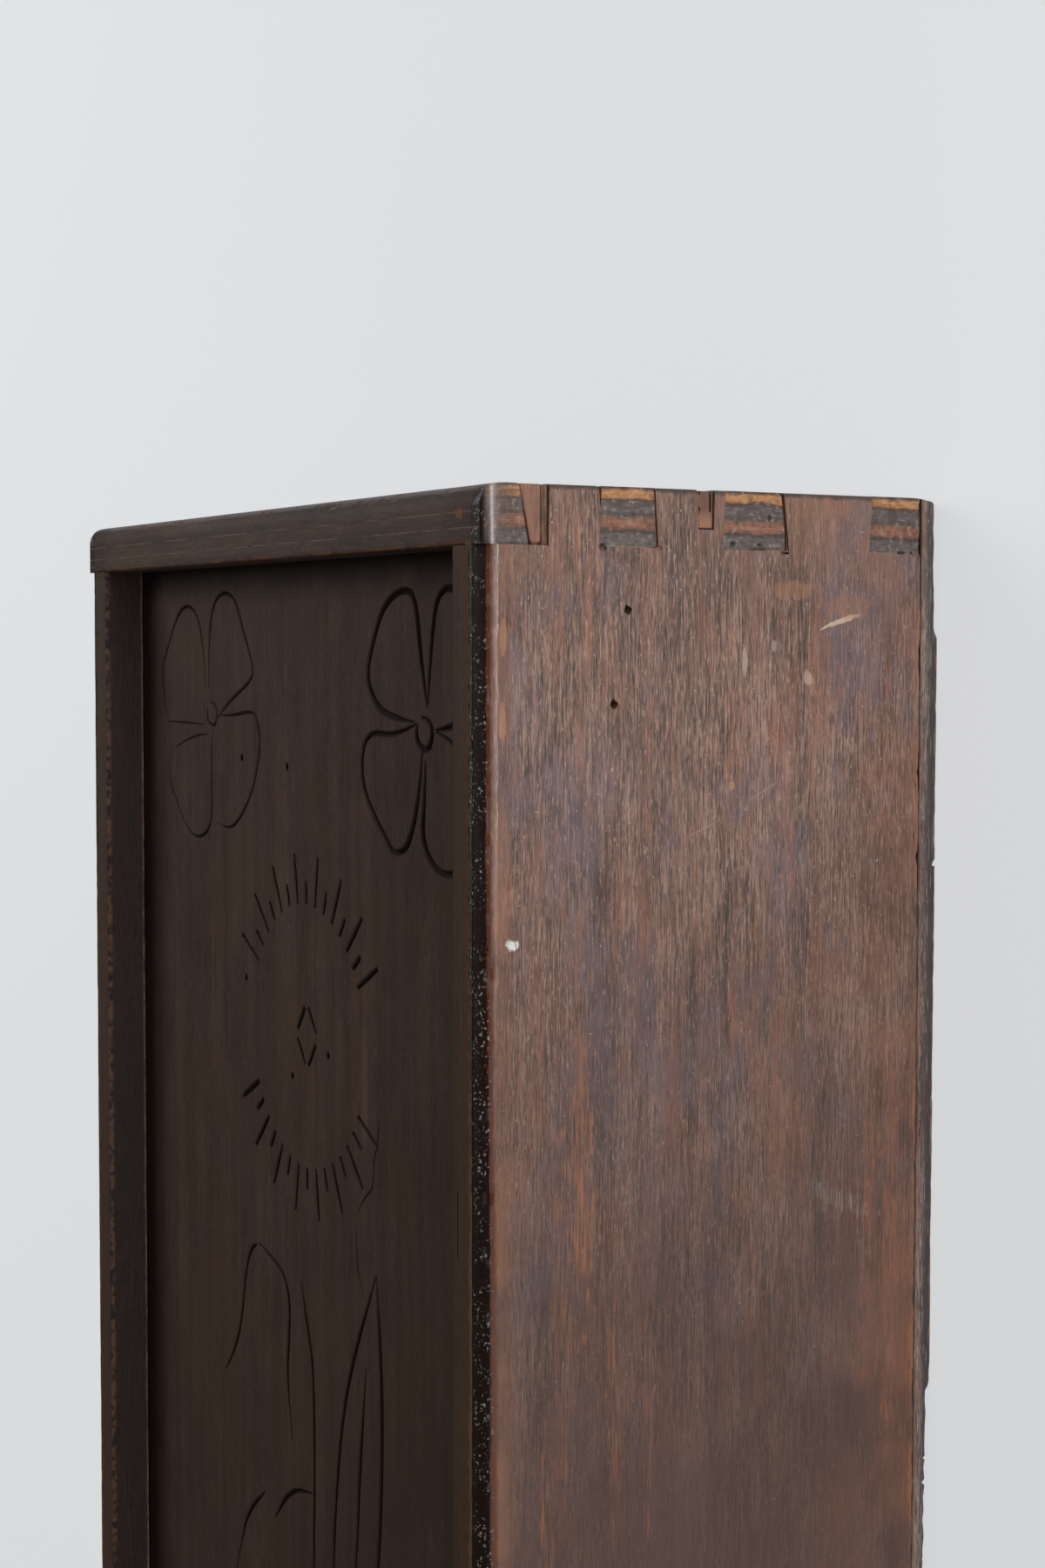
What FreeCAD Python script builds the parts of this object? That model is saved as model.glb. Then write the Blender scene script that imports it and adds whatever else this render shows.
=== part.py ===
import FreeCAD, Part
import os
import Sketcher

# Antique candle box with a lid that slides in grooves, lying on its bottom board.
# Frame: X along the box with the closed end at +X and the mouth at -X, Y across it,
# Z up from the underside of the bottom board, origin at the middle of that underside.
# Lengths are in millimetres.

driving_sizes = [
    ("box_length", 360.0, "overall length, closed end to mouth"),
    ("box_width", 222.0, "overall width across both side boards"),
    ("box_depth", 112.0, "overall height as the box lies, bottom board included"),
    ("side_thickness", 12.8, "thickness of a side board"),
    ("end_thickness", 12.0, "thickness of an end board"),
    ("bottom_thickness", 5.0, "thickness of the bottom board"),
    ("arris_radius", 4.4, "rounding of the front rim's outer edge"),
    ("foot_radius", 1.0, "worn rounding of the bottom board's lower edge"),
    ("lid_recess", 10.7, "front rim down to the face of the lid"),
    ("lid_thickness", 8.0, "thickness of the lid at its middle"),
    ("tongue_thickness", 3.7, "thickness of the lid's edge where it runs in the grooves"),
    ("side_groove_depth", 5.0, "depth of the grooves in the side boards"),
    ("end_groove_depth", 4.0, "depth of the groove in the closed end board"),
    ("lid_clearance", 0.3, "running clearance over, under and at the end of the lid"),
    ("lid_side_play", 0.5, "play between the lid and each side board"),
    ("field_bevel", 3.0, "bevel round the thick middle of the lid's underside"),
    ("notch_radius", 12.0, "radius of the thumb notch in the lid"),
    ("notch_tilt", 14.0, "slope of the thumb notch's floor, in degrees"),
    ("notch_place", 26.0, "mouth edge of the lid to the middle of the thumb notch"),
    ("first_pin_width", 14.1, "root width of the pin nearest the front rim"),
    ("second_pin_width", 16.1, "root width of the middle pin"),
    ("back_pin_width", 13.8, "root width of the half pin at the bottom board"),
    ("pin_draw", 0.8, "narrowing of a pin's flank from root to tip"),
    ("front_pin_draw", 2.5, "narrowing of the front half pin's flank from root to tip"),
    ("first_tail_share", 0.24, "share of the tail wood in the tail nearest the rim"),
    ("second_tail_share", 0.32, "share of the tail wood in the middle tail"),
    ("strip_width", 1.6, "width of the strip that plugs the end of the lid groove"),
    ("tail_wedge_place", 4.0, "middle pin's flank to the middle of the small wedge"),
    ("tail_wedge_width", 4.0, "width of the small wedge at the end of the board"),
    ("tail_wedge_root_width", 3.6, "width of the small wedge at its inner end"),
    ("tail_wedge_length", 7.8, "how far the small wedge is driven in"),
    ("nail_shank_radius", 0.9, "radius of a nail's shank"),
    ("nail_head_radius", 2.2, "radius of a nail's head"),
    ("nail_head_height", 0.8, "thickness of a nail's head"),
    ("nail_length", 24.0, "length of a nail, head included"),
    ("nail_sink", 0.4, "how deep the heads are punched below the wood"),
    ("nail_clearance", 0.05, "gap round a nail in its hole"),
    ("side_nail_inset", 22.0, "end of the box to the first nail in a side board"),
    ("side_nail_count", 6, "nails along each side board"),
    ("end_nail_inset", 42.0, "side of the box to the first nail in an end board"),
    ("end_nail_count", 3, "nails along each end board"),
]

doc = FreeCAD.newDocument("candle_box")
sheet = doc.addObject("Spreadsheet::Sheet", "dims")
for row, (alias, value, meaning) in enumerate(driving_sizes, start=1):
    sheet.set(f"A{row}", meaning)
    sheet.set(f"B{row}", str(value))
    sheet.setAlias(f"B{row}", alias)
doc.recompute()

# Places that several boards share, as expressions on the sheet.
# Heights are taken from the lower edge of the sides and ends, on the bottom board.
wall_height = "(dims.box_depth - dims.bottom_thickness)"
lid_face = f"({wall_height} - dims.lid_recess)"
groove_top = f"({lid_face} + dims.lid_clearance)"
groove_floor = f"({lid_face} - dims.tongue_thickness - dims.lid_clearance)"
lid_underside = f"({lid_face} - dims.lid_thickness)"
mouth_height = f"({lid_underside} - dims.lid_clearance)"
half_length = "(dims.box_length / 2)"
half_width = "(dims.box_width / 2)"
inner_half_width = f"({half_width} - dims.side_thickness)"
inner_end = "(dims.box_length - dims.end_thickness)"

# The tails share the height that the pins leave below the lid groove.
tail_wood = f"({groove_floor} - dims.first_pin_width - dims.second_pin_width - dims.back_pin_width)"
first_tail = f"({tail_wood} * dims.first_tail_share)"
second_tail = f"({tail_wood} * dims.second_tail_share)"
first_pin_high = f"({groove_floor} - {first_tail})"
first_pin_low = f"({first_pin_high} - dims.first_pin_width)"
second_pin_high = f"({first_pin_low} - {second_tail})"
second_pin_low = f"({second_pin_high} - dims.second_pin_width)"


def role_of(body, role):
    return [feature for feature in body.Origin.OriginFeatures if feature.Role == role][0]


def new_body(label, x_place, y_place, z_place):
    body = doc.addObject("PartDesign::Body", label)
    body.Label = label
    body.setExpression("Placement.Base.x", x_place)
    body.setExpression("Placement.Base.y", y_place)
    body.setExpression("Placement.Base.z", z_place)
    return body


def new_sketch(body, name, plane):
    sketch = body.newObject("Sketcher::SketchObject", name)
    sketch.AttachmentSupport = (role_of(body, plane), [""])
    sketch.MapMode = "FlatFace"
    doc.recompute()
    return sketch


def draw_polygon(sketch, corners):
    # Each corner is a pair of expressions, and two dimensions from the origin hold it.
    places = [tuple(float(sketch.evalExpression(text)) for text in corner) for corner in corners]
    points = [FreeCAD.Vector(x, y, 0) for x, y in places]
    first = sketch.GeometryCount
    count = len(corners)
    for index in range(count):
        line = Part.LineSegment(points[index], points[(index + 1) % count])
        sketch.addGeometry(line, False)
    for index in range(count):
        after = first + (index + 1) % count
        sketch.addConstraint(Sketcher.Constraint("Coincident", first + index, 2, after, 1))
    for index, corner in enumerate(corners):
        for kind, value, text in zip(("DistanceX", "DistanceY"), places[index], corner):
            constraint = Sketcher.Constraint(kind, -1, 1, first + index, 1, value)
            number = sketch.addConstraint(constraint)
            sketch.setExpression(f"Constraints[{number}]", text)


def draw_circle(sketch, x_place, y_place, radius):
    x, y, size = [float(sketch.evalExpression(text)) for text in (x_place, y_place, radius)]
    circle = Part.Circle(FreeCAD.Vector(x, y, 0), FreeCAD.Vector(0, 0, 1), size)
    index = sketch.addGeometry(circle, False)
    for kind, value, text in (("DistanceX", x, x_place), ("DistanceY", y, y_place)):
        number = sketch.addConstraint(Sketcher.Constraint(kind, -1, 1, index, 3, value))
        sketch.setExpression(f"Constraints[{number}]", text)
    number = sketch.addConstraint(Sketcher.Constraint("Radius", index, size))
    sketch.setExpression(f"Constraints[{number}]", radius)


def rectangle(left, low, right, high):
    return [(left, low), (right, low), (right, high), (left, high)]


def flanked(root_x, tip_x, root_low, root_high, tip_low, tip_high):
    # A dovetail shape in the X-Z plane, from its root at the inner face to its tip.
    return [(root_x, root_low), (tip_x, tip_low), (tip_x, tip_high), (root_x, root_high)]


def add_pad(body, sketch, name, length, toward_normal=True):
    pad = body.newObject("PartDesign::Pad", name)
    pad.Profile = sketch
    pad.setExpression("Length", length)
    pad.Reversed = not toward_normal
    doc.recompute()
    return pad


def add_pocket(body, sketch, name, depth=None, toward_normal=False):
    # With no depth the pocket runs right through the body, both ways.
    before = body.Shape.Volume
    pocket = body.newObject("PartDesign::Pocket", name)
    pocket.Profile = sketch
    if depth is None:
        pocket.Type = "ThroughAll"
        pocket.Midplane = True
    else:
        pocket.setExpression("Length", depth)
        pocket.Reversed = toward_normal
    doc.recompute()
    if not body.Shape.Volume < before:
        raise RuntimeError(f"{name} cut nothing")
    return pocket


def add_row(body, features, name, axis, length, count):
    row = body.newObject("PartDesign::LinearPattern", name)
    row.Originals = features
    row.Direction = (role_of(body, axis), [""])
    row.setExpression("Length", length)
    row.setExpression("Occurrences", count)
    body.Tip = row
    doc.recompute()
    return row


def close_to(value, text):
    return abs(value - float(sheet.evalExpression(text))) < 0.001


def dress_edges(body, kind, name, size_property, size, matches):
    # Rounds or bevels each edge whose two ends, passed as a list of points, match.
    base = body.Tip
    names = []
    for index, edge in enumerate(base.Shape.Edges, start=1):
        ends = [vertex.Point for vertex in edge.Vertexes]
        if len(ends) == 2 and matches(ends):
            names.append(f"Edge{index}")
    dressing = body.newObject(kind, name)
    dressing.Base = (base, names)
    dressing.setExpression(size_property, size)
    doc.recompute()
    return dressing


def round_edges(body, name, radius, matches):
    return dress_edges(body, "PartDesign::Fillet", name, "Radius", radius, matches)


def pin_outlines(root_x, tip_x):
    # The three pins that both ends of the box have, from the bottom board upwards.
    back_pin = flanked(root_x, tip_x, "0", "dims.back_pin_width",
                       "0", "dims.back_pin_width - dims.pin_draw")
    second_pin = flanked(root_x, tip_x, second_pin_low, second_pin_high,
                         f"{second_pin_low} + dims.pin_draw", f"{second_pin_high} - dims.pin_draw")
    first_pin = flanked(root_x, tip_x, first_pin_low, first_pin_high,
                        f"{first_pin_low} + dims.pin_draw", f"{first_pin_high} - dims.pin_draw")
    return [back_pin, second_pin, first_pin]


def tail_outlines(root_x, tip_x):
    # The two whole tails between those pins.
    third_tail = flanked(root_x, tip_x, "dims.back_pin_width", second_pin_low,
                         "dims.back_pin_width - dims.pin_draw", f"{second_pin_low} + dims.pin_draw")
    middle_tail = flanked(root_x, tip_x, second_pin_high, first_pin_low,
                          f"{second_pin_high} - dims.pin_draw", f"{first_pin_low} + dims.pin_draw")
    return [third_tail, middle_tail]


tail_wedge_middle = f"({second_pin_high} + dims.tail_wedge_place)"


def tail_wedge_outline(end_x):
    return flanked(f"{end_x} - dims.tail_wedge_length", end_x,
                   f"{tail_wedge_middle} - dims.tail_wedge_root_width / 2",
                   f"{tail_wedge_middle} + dims.tail_wedge_root_width / 2",
                   f"{tail_wedge_middle} - dims.tail_wedge_width / 2",
                   f"{tail_wedge_middle} + dims.tail_wedge_width / 2")


# Each row of nails: its name, the place of its first nail, and the way and distance it runs.
nail_x = f"({half_length} - dims.end_thickness / 2)"
nail_y = f"({half_width} - dims.side_thickness / 2)"
side_start = f"(dims.side_nail_inset - {half_length})"
end_start = f"(dims.end_nail_inset - {half_width})"
side_run = "(dims.box_length - 2 * dims.side_nail_inset)"
end_run = "(dims.box_width - 2 * dims.end_nail_inset)"
nail_rows = [
    ("near_side", side_start, f"-{nail_y}", "X_Axis", side_run, "dims.side_nail_count"),
    ("far_side", side_start, nail_y, "X_Axis", side_run, "dims.side_nail_count"),
    ("closed_end", nail_x, end_start, "Y_Axis", end_run, "dims.end_nail_count"),
    ("mouth_end", f"-{nail_x}", end_start, "Y_Axis", end_run, "dims.end_nail_count"),
]
nail_hole_radius = "(dims.nail_shank_radius + dims.nail_clearance)"
nail_hole_depth = "(dims.nail_sink + dims.nail_length + dims.nail_clearance - dims.bottom_thickness)"


def add_nail_holes(body, label, x_place, y_place, axis, run, count):
    # Blind holes up from the lower edge of a side or an end board.
    hole = new_sketch(body, label + "_nail_place", "XY_Plane")
    draw_circle(hole, x_place, y_place, nail_hole_radius)
    first_hole = add_pocket(body, hole, label + "_nail_hole", nail_hole_depth, toward_normal=True)
    add_row(body, [first_hole], label + "_nail_holes", axis, run, count)


def make_side_board(label, inward, wedged):
    # Lies with its outer face at y = 0 and its thickness towards the middle of the box.
    # Its ends are cut as tails, and a groove for the lid runs along its inner face.
    near = inward > 0
    body = new_body(label, f"-{half_length}", f"{-inward} * {half_width}", "dims.bottom_thickness")
    outline = new_sketch(body, label + "_outline", "XZ_Plane")
    draw_polygon(outline, rectangle("0", "0", "dims.box_length", wall_height))
    add_pad(body, outline, label + "_blank", "dims.side_thickness", toward_normal=not near)

    sockets = new_sketch(body, label + "_sockets", "XZ_Plane")
    for outline_points in pin_outlines(inner_end, "dims.box_length"):
        draw_polygon(sockets, outline_points)
    for outline_points in pin_outlines("dims.end_thickness", "0"):
        draw_polygon(sockets, outline_points)
    draw_polygon(sockets, rectangle(inner_end, groove_floor, "dims.box_length", wall_height))
    if wedged:
        draw_polygon(sockets, tail_wedge_outline("dims.box_length"))
    add_pocket(body, sockets, label + "_tails")

    groove = new_sketch(body, label + "_groove_section", "YZ_Plane")
    groove_back = f"{inward} * (dims.side_thickness - dims.side_groove_depth)"
    inner_face = f"{inward} * dims.side_thickness"
    draw_polygon(groove, rectangle(groove_back, groove_floor, inner_face, groove_top))
    add_pocket(body, groove, label + "_groove", inner_end, toward_normal=True)

    add_nail_holes(body, label, "dims.side_nail_inset", f"{inward} * dims.side_thickness / 2",
                   "X_Axis", side_run, "dims.side_nail_count")
    round_edges(body, label + "_arris", "dims.arris_radius",
                lambda ends: all(abs(point.y) < 0.001 and close_to(point.z, wall_height)
                                 for point in ends))
    return body


def make_end_board(label, outward, height, opening_top, has_lid_groove):
    # Lies with its inner face at x = 0 and its thickness away from the box's middle.
    # The pins at both of its sides reach the outer faces of the side boards. The opening
    # above the first pin ends at opening_top, given at its root and at its tip.
    x_place = f"{outward} * ({half_length} - dims.end_thickness)"
    body = new_body(label, x_place, "0", "dims.bottom_thickness")
    outer_face = f"{outward} * dims.end_thickness"
    outline = new_sketch(body, label + "_outline", "YZ_Plane")
    draw_polygon(outline, rectangle(f"-{half_width}", "0", half_width, height))
    add_pad(body, outline, label + "_blank", "dims.end_thickness", toward_normal=outward > 0)

    sockets = new_sketch(body, label + "_sockets", "XZ_Plane")
    sockets.setExpression("AttachmentOffset.Base.z", half_width)
    doc.recompute()
    for outline_points in tail_outlines("0", outer_face):
        draw_polygon(sockets, outline_points)
    root_high, tip_high = opening_top
    draw_polygon(sockets, flanked("0", outer_face, first_pin_high, root_high,
                                  f"{first_pin_high} - dims.pin_draw", tip_high))
    one_side = add_pocket(body, sockets, label + "_pins", "dims.side_thickness")
    both_sides = body.newObject("PartDesign::Mirrored", label + "_pins_across")
    both_sides.Originals = [one_side]
    both_sides.MirrorPlane = (role_of(body, "XZ_Plane"), [""])
    body.Tip = both_sides
    doc.recompute()

    if has_lid_groove:
        groove = new_sketch(body, label + "_groove_outline", "YZ_Plane")
        draw_polygon(groove, rectangle(f"-{inner_half_width}", groove_floor, inner_half_width, groove_top))
        add_pocket(body, groove, label + "_groove", "dims.end_groove_depth", toward_normal=outward > 0)

    add_nail_holes(body, label, f"{outward} * dims.end_thickness / 2", end_start,
                   "Y_Axis", end_run, "dims.end_nail_count")
    return body


def make_bottom_board():
    # One thin board, nailed up into the edges of the sides and ends.
    body = new_body("bottom_board", "0", "0", "0")
    outline = new_sketch(body, "bottom_outline", "XY_Plane")
    draw_polygon(outline, rectangle(f"-{half_length}", f"-{half_width}", half_length, half_width))
    add_pad(body, outline, "bottom_blank", "dims.bottom_thickness")
    for name, x_place, y_place, axis, run, count in nail_rows:
        shank = new_sketch(body, f"bottom_{name}_shank", "XY_Plane")
        draw_circle(shank, x_place, y_place, nail_hole_radius)
        hole = add_pocket(body, shank, f"bottom_{name}_hole")
        head = new_sketch(body, f"bottom_{name}_head", "XY_Plane")
        draw_circle(head, x_place, y_place, "dims.nail_head_radius + dims.nail_clearance")
        head_depth = "dims.nail_sink + dims.nail_head_height"
        recess = add_pocket(body, head, f"bottom_{name}_recess", head_depth, toward_normal=True)
        add_row(body, [hole, recess], f"bottom_{name}_row", axis, run, count)
    round_edges(body, "bottom_worn_edge", "dims.foot_radius",
                lambda ends: all(abs(point.z) < 0.001 for point in ends))
    return body


def make_lid():
    # Lies with its underside at z = 0 and its mouth edge at x = 0.
    # Three edges are rebated below to a tongue, and the tongue's corners are cut away
    # at the closed end, where the side boards' grooves stop.
    body = new_body("lid_panel", f"-{half_length}", "0", f"dims.bottom_thickness + {lid_underside}")
    field_half = f"({inner_half_width} - dims.lid_side_play)"
    tongue_half = f"({inner_half_width} + dims.side_groove_depth - dims.lid_side_play)"
    field_end = f"({inner_end} - dims.lid_clearance)"
    tongue_end = f"({inner_end} + dims.end_groove_depth - dims.lid_clearance)"
    outline = new_sketch(body, "lid_outline", "XY_Plane")
    draw_polygon(outline, [("0", f"-{tongue_half}"), (field_end, f"-{tongue_half}"),
                           (field_end, f"-{field_half}"), (tongue_end, f"-{field_half}"),
                           (tongue_end, field_half), (field_end, field_half),
                           (field_end, tongue_half), ("0", tongue_half)])
    add_pad(body, outline, "lid_blank", "dims.lid_thickness")
    rebate = new_sketch(body, "lid_rebate_outline", "XY_Plane")
    draw_polygon(rebate, rectangle("0", f"-{tongue_half}", field_end, f"-{field_half}"))
    draw_polygon(rebate, rectangle("0", field_half, field_end, tongue_half))
    draw_polygon(rebate, rectangle(field_end, f"-{field_half}", tongue_end, field_half))
    add_pocket(body, rebate, "lid_rebate", "dims.lid_thickness - dims.tongue_thickness",
               toward_normal=True)
    dress_edges(body, "PartDesign::Chamfer", "lid_bevel", "Size", "dims.field_bevel",
                lambda ends: all(abs(point.z) < 0.001 for point in ends)
                and any(point.x > 0.001 for point in ends))

    # The thumb notch is a disc sunk at a slope, deepest towards the mouth.
    notch = new_sketch(body, "thumb_notch_disc", "XY_Plane")
    across = FreeCAD.Rotation(FreeCAD.Vector(0, 1, 0), 0)
    notch.AttachmentOffset = FreeCAD.Placement(FreeCAD.Vector(), across)
    notch.setExpression("AttachmentOffset.Rotation.Angle", "-dims.notch_tilt * 1 deg")
    notch.setExpression("AttachmentOffset.Base.x", "dims.notch_place")
    notch.setExpression("AttachmentOffset.Base.z", "dims.lid_thickness")
    doc.recompute()
    draw_circle(notch, "0", "0", "dims.notch_radius")
    add_pocket(body, notch, "thumb_notch", "dims.notch_radius", toward_normal=True)
    return body


def make_joint_piece(label, inward, corners):
    # A wedge or strip in the dovetails, as thick as the side board that it sits in.
    body = new_body(label, f"-{half_length}", f"{-inward} * {half_width}", "dims.bottom_thickness")
    outline = new_sketch(body, label + "_outline", "XZ_Plane")
    draw_polygon(outline, corners)
    add_pad(body, outline, label + "_pad", "dims.side_thickness", toward_normal=inward < 0)
    return body


def make_nails(label, x_place, y_place, axis, run, count):
    body = new_body(label, "0", "0", "dims.nail_sink")
    body.AllowCompound = True
    head = new_sketch(body, label + "_head_outline", "XY_Plane")
    draw_circle(head, x_place, y_place, "dims.nail_head_radius")
    head_pad = add_pad(body, head, label + "_head", "dims.nail_head_height")
    shank = new_sketch(body, label + "_shank_outline", "XY_Plane")
    draw_circle(shank, x_place, y_place, "dims.nail_shank_radius")
    shank_pad = add_pad(body, shank, label + "_shank", "dims.nail_length")
    add_row(body, [head_pad, shank_pad], label + "_row", axis, run, count)
    return body


pieces = [make_bottom_board()]
pieces.append(make_side_board("near_side_board", 1, wedged=True))
pieces.append(make_side_board("far_side_board", -1, wedged=False))

front_pin_tip = f"({lid_face} + dims.front_pin_draw)"
closed_end = make_end_board("closed_end_board", 1, wall_height,
                            (lid_face, front_pin_tip), has_lid_groove=True)
round_edges(closed_end, "closed_end_arris", "dims.arris_radius",
            lambda ends: all(close_to(point.z, wall_height) for point in ends)
            and any(close_to(point.x, "dims.end_thickness") for point in ends))
pieces.append(closed_end)
pieces.append(make_end_board("mouth_end_board", -1, mouth_height,
                             (mouth_height, mouth_height), has_lid_groove=False))
pieces.append(make_lid())

strip_top = f"({groove_floor} + dims.strip_width)"
strip_corners = rectangle(inner_end, groove_floor, "dims.box_length", strip_top)
wedge_corners = flanked(inner_end, "dims.box_length", strip_top, lid_face, strip_top, front_pin_tip)
for side_name, inward in (("near", 1), ("far", -1)):
    pieces.append(make_joint_piece(f"{side_name}_corner_strip", inward, strip_corners))
    pieces.append(make_joint_piece(f"{side_name}_corner_wedge", inward, wedge_corners))
pieces.append(make_joint_piece("tail_wedge", 1, tail_wedge_outline("dims.box_length")))

for name, x_place, y_place, axis, run, count in nail_rows:
    pieces.append(make_nails(f"{name}_nails", x_place, y_place, axis, run, count))

doc.recompute()
for item in doc.Objects:
    if "Invalid" in item.State or "Error" in item.State:
        raise RuntimeError(f"{item.Label} did not compute: {item.State}")
for piece in pieces:
    if piece.Shape.isNull() or not piece.Shape.isValid() or not piece.Shape.Solids:
        raise RuntimeError(f"{piece.Label} is not a valid solid")

os.makedirs("parts", exist_ok=True)
for piece in pieces:
    piece.Shape.exportStep(f"parts/{piece.Label}.step")
    box = piece.Shape.BoundBox
    print(f"{piece.Label}: {len(piece.Shape.Solids)} solid(s), "
          f"{box.XLength:.1f} x {box.YLength:.1f} x {box.ZLength:.1f} mm, "
          f"z {box.ZMin:.1f} to {box.ZMax:.1f}, {piece.Shape.Volume / 1000:.2f} cm3")
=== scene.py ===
import math
import random
import bmesh
import bpy
from mathutils import Matrix, Vector, noise


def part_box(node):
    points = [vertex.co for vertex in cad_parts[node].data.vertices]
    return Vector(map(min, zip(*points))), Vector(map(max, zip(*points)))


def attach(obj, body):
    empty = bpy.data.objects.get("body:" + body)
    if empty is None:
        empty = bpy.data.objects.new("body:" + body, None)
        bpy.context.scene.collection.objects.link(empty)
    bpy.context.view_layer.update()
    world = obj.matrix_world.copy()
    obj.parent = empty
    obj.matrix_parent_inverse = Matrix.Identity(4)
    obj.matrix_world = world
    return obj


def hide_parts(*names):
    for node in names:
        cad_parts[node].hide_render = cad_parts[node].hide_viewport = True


# An antique candle box of dark stained boards, lying on its bottom board with its closed end
# at +X. The dictionaries give millimetres and degrees; the meshes are in metres.

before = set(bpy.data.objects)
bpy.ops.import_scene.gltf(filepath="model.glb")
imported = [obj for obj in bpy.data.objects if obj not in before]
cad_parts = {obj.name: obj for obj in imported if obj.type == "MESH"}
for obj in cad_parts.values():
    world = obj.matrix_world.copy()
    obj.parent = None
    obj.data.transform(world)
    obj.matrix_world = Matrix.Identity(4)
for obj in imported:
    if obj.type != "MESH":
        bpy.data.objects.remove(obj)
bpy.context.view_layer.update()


def mm(value):
    return value / 1000


def placesOf(node):
    # lowest and highest corner of a board of the frame, in millimetres
    low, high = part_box(node)
    return low * 1000, high * 1000


# Studio

view = {
    "place": (147.57, -537.71, 345.13),
    "forward": (-0.05359, 0.86854, -0.49271),
    "up": (0.99856, 0.04715, -0.02550),
    "lens": 57.556,       # for the 36 mm side that runs up the picture
}
studio = {
    "floorSize": 60000,
    "floorColour": "#eef0f2",
    "floorGlow": 0.66,    # share of the floor's colour that doesn't depend on the lamps
    "worldColour": "#e6e8ea",
    "worldStrength": 0.15,
    "lamps": {
        # name: place, aim, width, height, watts
        "windowLamp": ((420, -1150, 265), (60, -100, 60), 900, 170, 9.4),
        "topLamp": ((650, 900, 1100), (0, 0, 60), 900, 900, 9.4),
        "mouthLamp": ((-1700, -300, 450), (-150, 0, 60), 900, 600, 4.0),
    },
}


def addShape(kind, **settings):
    # a new primitive, with nothing else selected
    bpy.ops.object.select_all(action="DESELECT")
    getattr(bpy.ops.mesh, f"primitive_{kind}_add")(**settings)
    return bpy.context.object


def linearColour(hexColour):
    # a written sRGB colour as the linear one that shaders read
    parts = [int(hexColour[place:place + 2], 16) / 255 for place in (1, 3, 5)]
    linear = [part / 12.92 if part <= 0.04045 else ((part + 0.055) / 1.055) ** 2.4 for part in parts]
    return linear + [1.0]


def addNode(tree, kind, inputs=None, out=None, **settings):
    # adds a node, sets its options, fills its inputs with values or links, and returns an output
    node = tree.nodes.new("ShaderNode" + kind)
    for option, value in settings.items():
        setattr(node, option, value)
    for place, value in (inputs or {}).items():
        if isinstance(value, bpy.types.NodeSocket):
            tree.links.new(value, node.inputs[place])
        else:
            node.inputs[place].default_value = value
    if out is not None:
        return node.outputs[out]
    return next((socket for socket in node.outputs if socket.enabled), None)


def newTree(name):
    material = bpy.data.materials.new(name)
    material.use_nodes = True
    material.node_tree.nodes.clear()
    return material, material.node_tree


def aim(thing, place, target):
    thing.location = [mm(value) for value in place]
    direction = Vector(target) - Vector(place)
    thing.rotation_euler = direction.to_track_quat("-Z", "Z").to_euler()


def setUpStudio():
    scene = bpy.context.scene
    scene.view_settings.view_transform = "Standard"

    cameraData = bpy.data.cameras.new("photoCamera")
    cameraData.sensor_width = 36
    cameraData.lens = view["lens"]
    cameraData.clip_start = 0.01
    camera = bpy.data.objects.new("photoCamera", cameraData)
    scene.collection.objects.link(camera)
    back = -Vector(view["forward"]).normalized()
    right = Vector(view["up"]).cross(back).normalized()
    up = back.cross(right)
    turn = Matrix((right, up, back)).transposed().to_4x4()
    camera.matrix_world = Matrix.Translation([mm(value) for value in view["place"]]) @ turn
    scene.camera = camera

    floor = addShape("plane", size=mm(studio["floorSize"]), location=(0, 0, 0))
    floor.name = "studioFloor"
    # matt card: one pale colour, part of which glows so that it stays even across the picture
    card, tree = newTree("paleMattCard")
    colour = linearColour(studio["floorColour"])
    matt = addNode(tree, "BsdfDiffuse", {"Color": colour})
    glow = addNode(tree, "Emission", {"Color": colour, "Strength": 1.0})
    either, *others = [addNode(tree, "LightPath", out=f"Is {kind} Ray")
                       for kind in ("Camera", "Glossy", "Transmission")]
    for other in others:
        either = addNode(tree, "Math", {0: either, 1: other}, operation="MAXIMUM")
    share = addNode(tree, "Math", {0: either, 1: studio["floorGlow"]}, operation="MULTIPLY")
    mixed = addNode(tree, "MixShader", {0: share, 1: matt, 2: glow})
    addNode(tree, "OutputMaterial", {"Surface": mixed})
    floor.data.materials.append(card)

    world = bpy.data.worlds.new("paleRoom")
    scene.world = world
    world.use_nodes = True
    world.node_tree.nodes.clear()
    air = addNode(world.node_tree, "Background",
                  {"Color": linearColour(studio["worldColour"]), "Strength": studio["worldStrength"]})
    addNode(world.node_tree, "OutputWorld", {"Surface": air})

    for name, (place, target, width, height, watts) in studio["lamps"].items():
        lampData = bpy.data.lights.new(name, "AREA")
        lampData.shape = "RECTANGLE"
        lampData.size = mm(width)
        lampData.size_y = mm(height)
        lampData.energy = watts
        lamp = bpy.data.objects.new(name, lampData)
        scene.collection.objects.link(lamp)
        aim(lamp, place, target)
    print("studio is set up")


# Wood shader: patterns are worked out in millimetres of the box's own frame

def boxPlace(tree):
    # the point on the box in millimetres, and its three coordinates
    inMetres = addNode(tree, "TexCoord", out="Object")
    place = addNode(tree, "VectorMath", {0: inMetres, 3: 1000.0}, operation="SCALE")
    split = tree.nodes.new("ShaderNodeSeparateXYZ")
    tree.links.new(place, split.inputs[0])
    return place, list(split.outputs)


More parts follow.
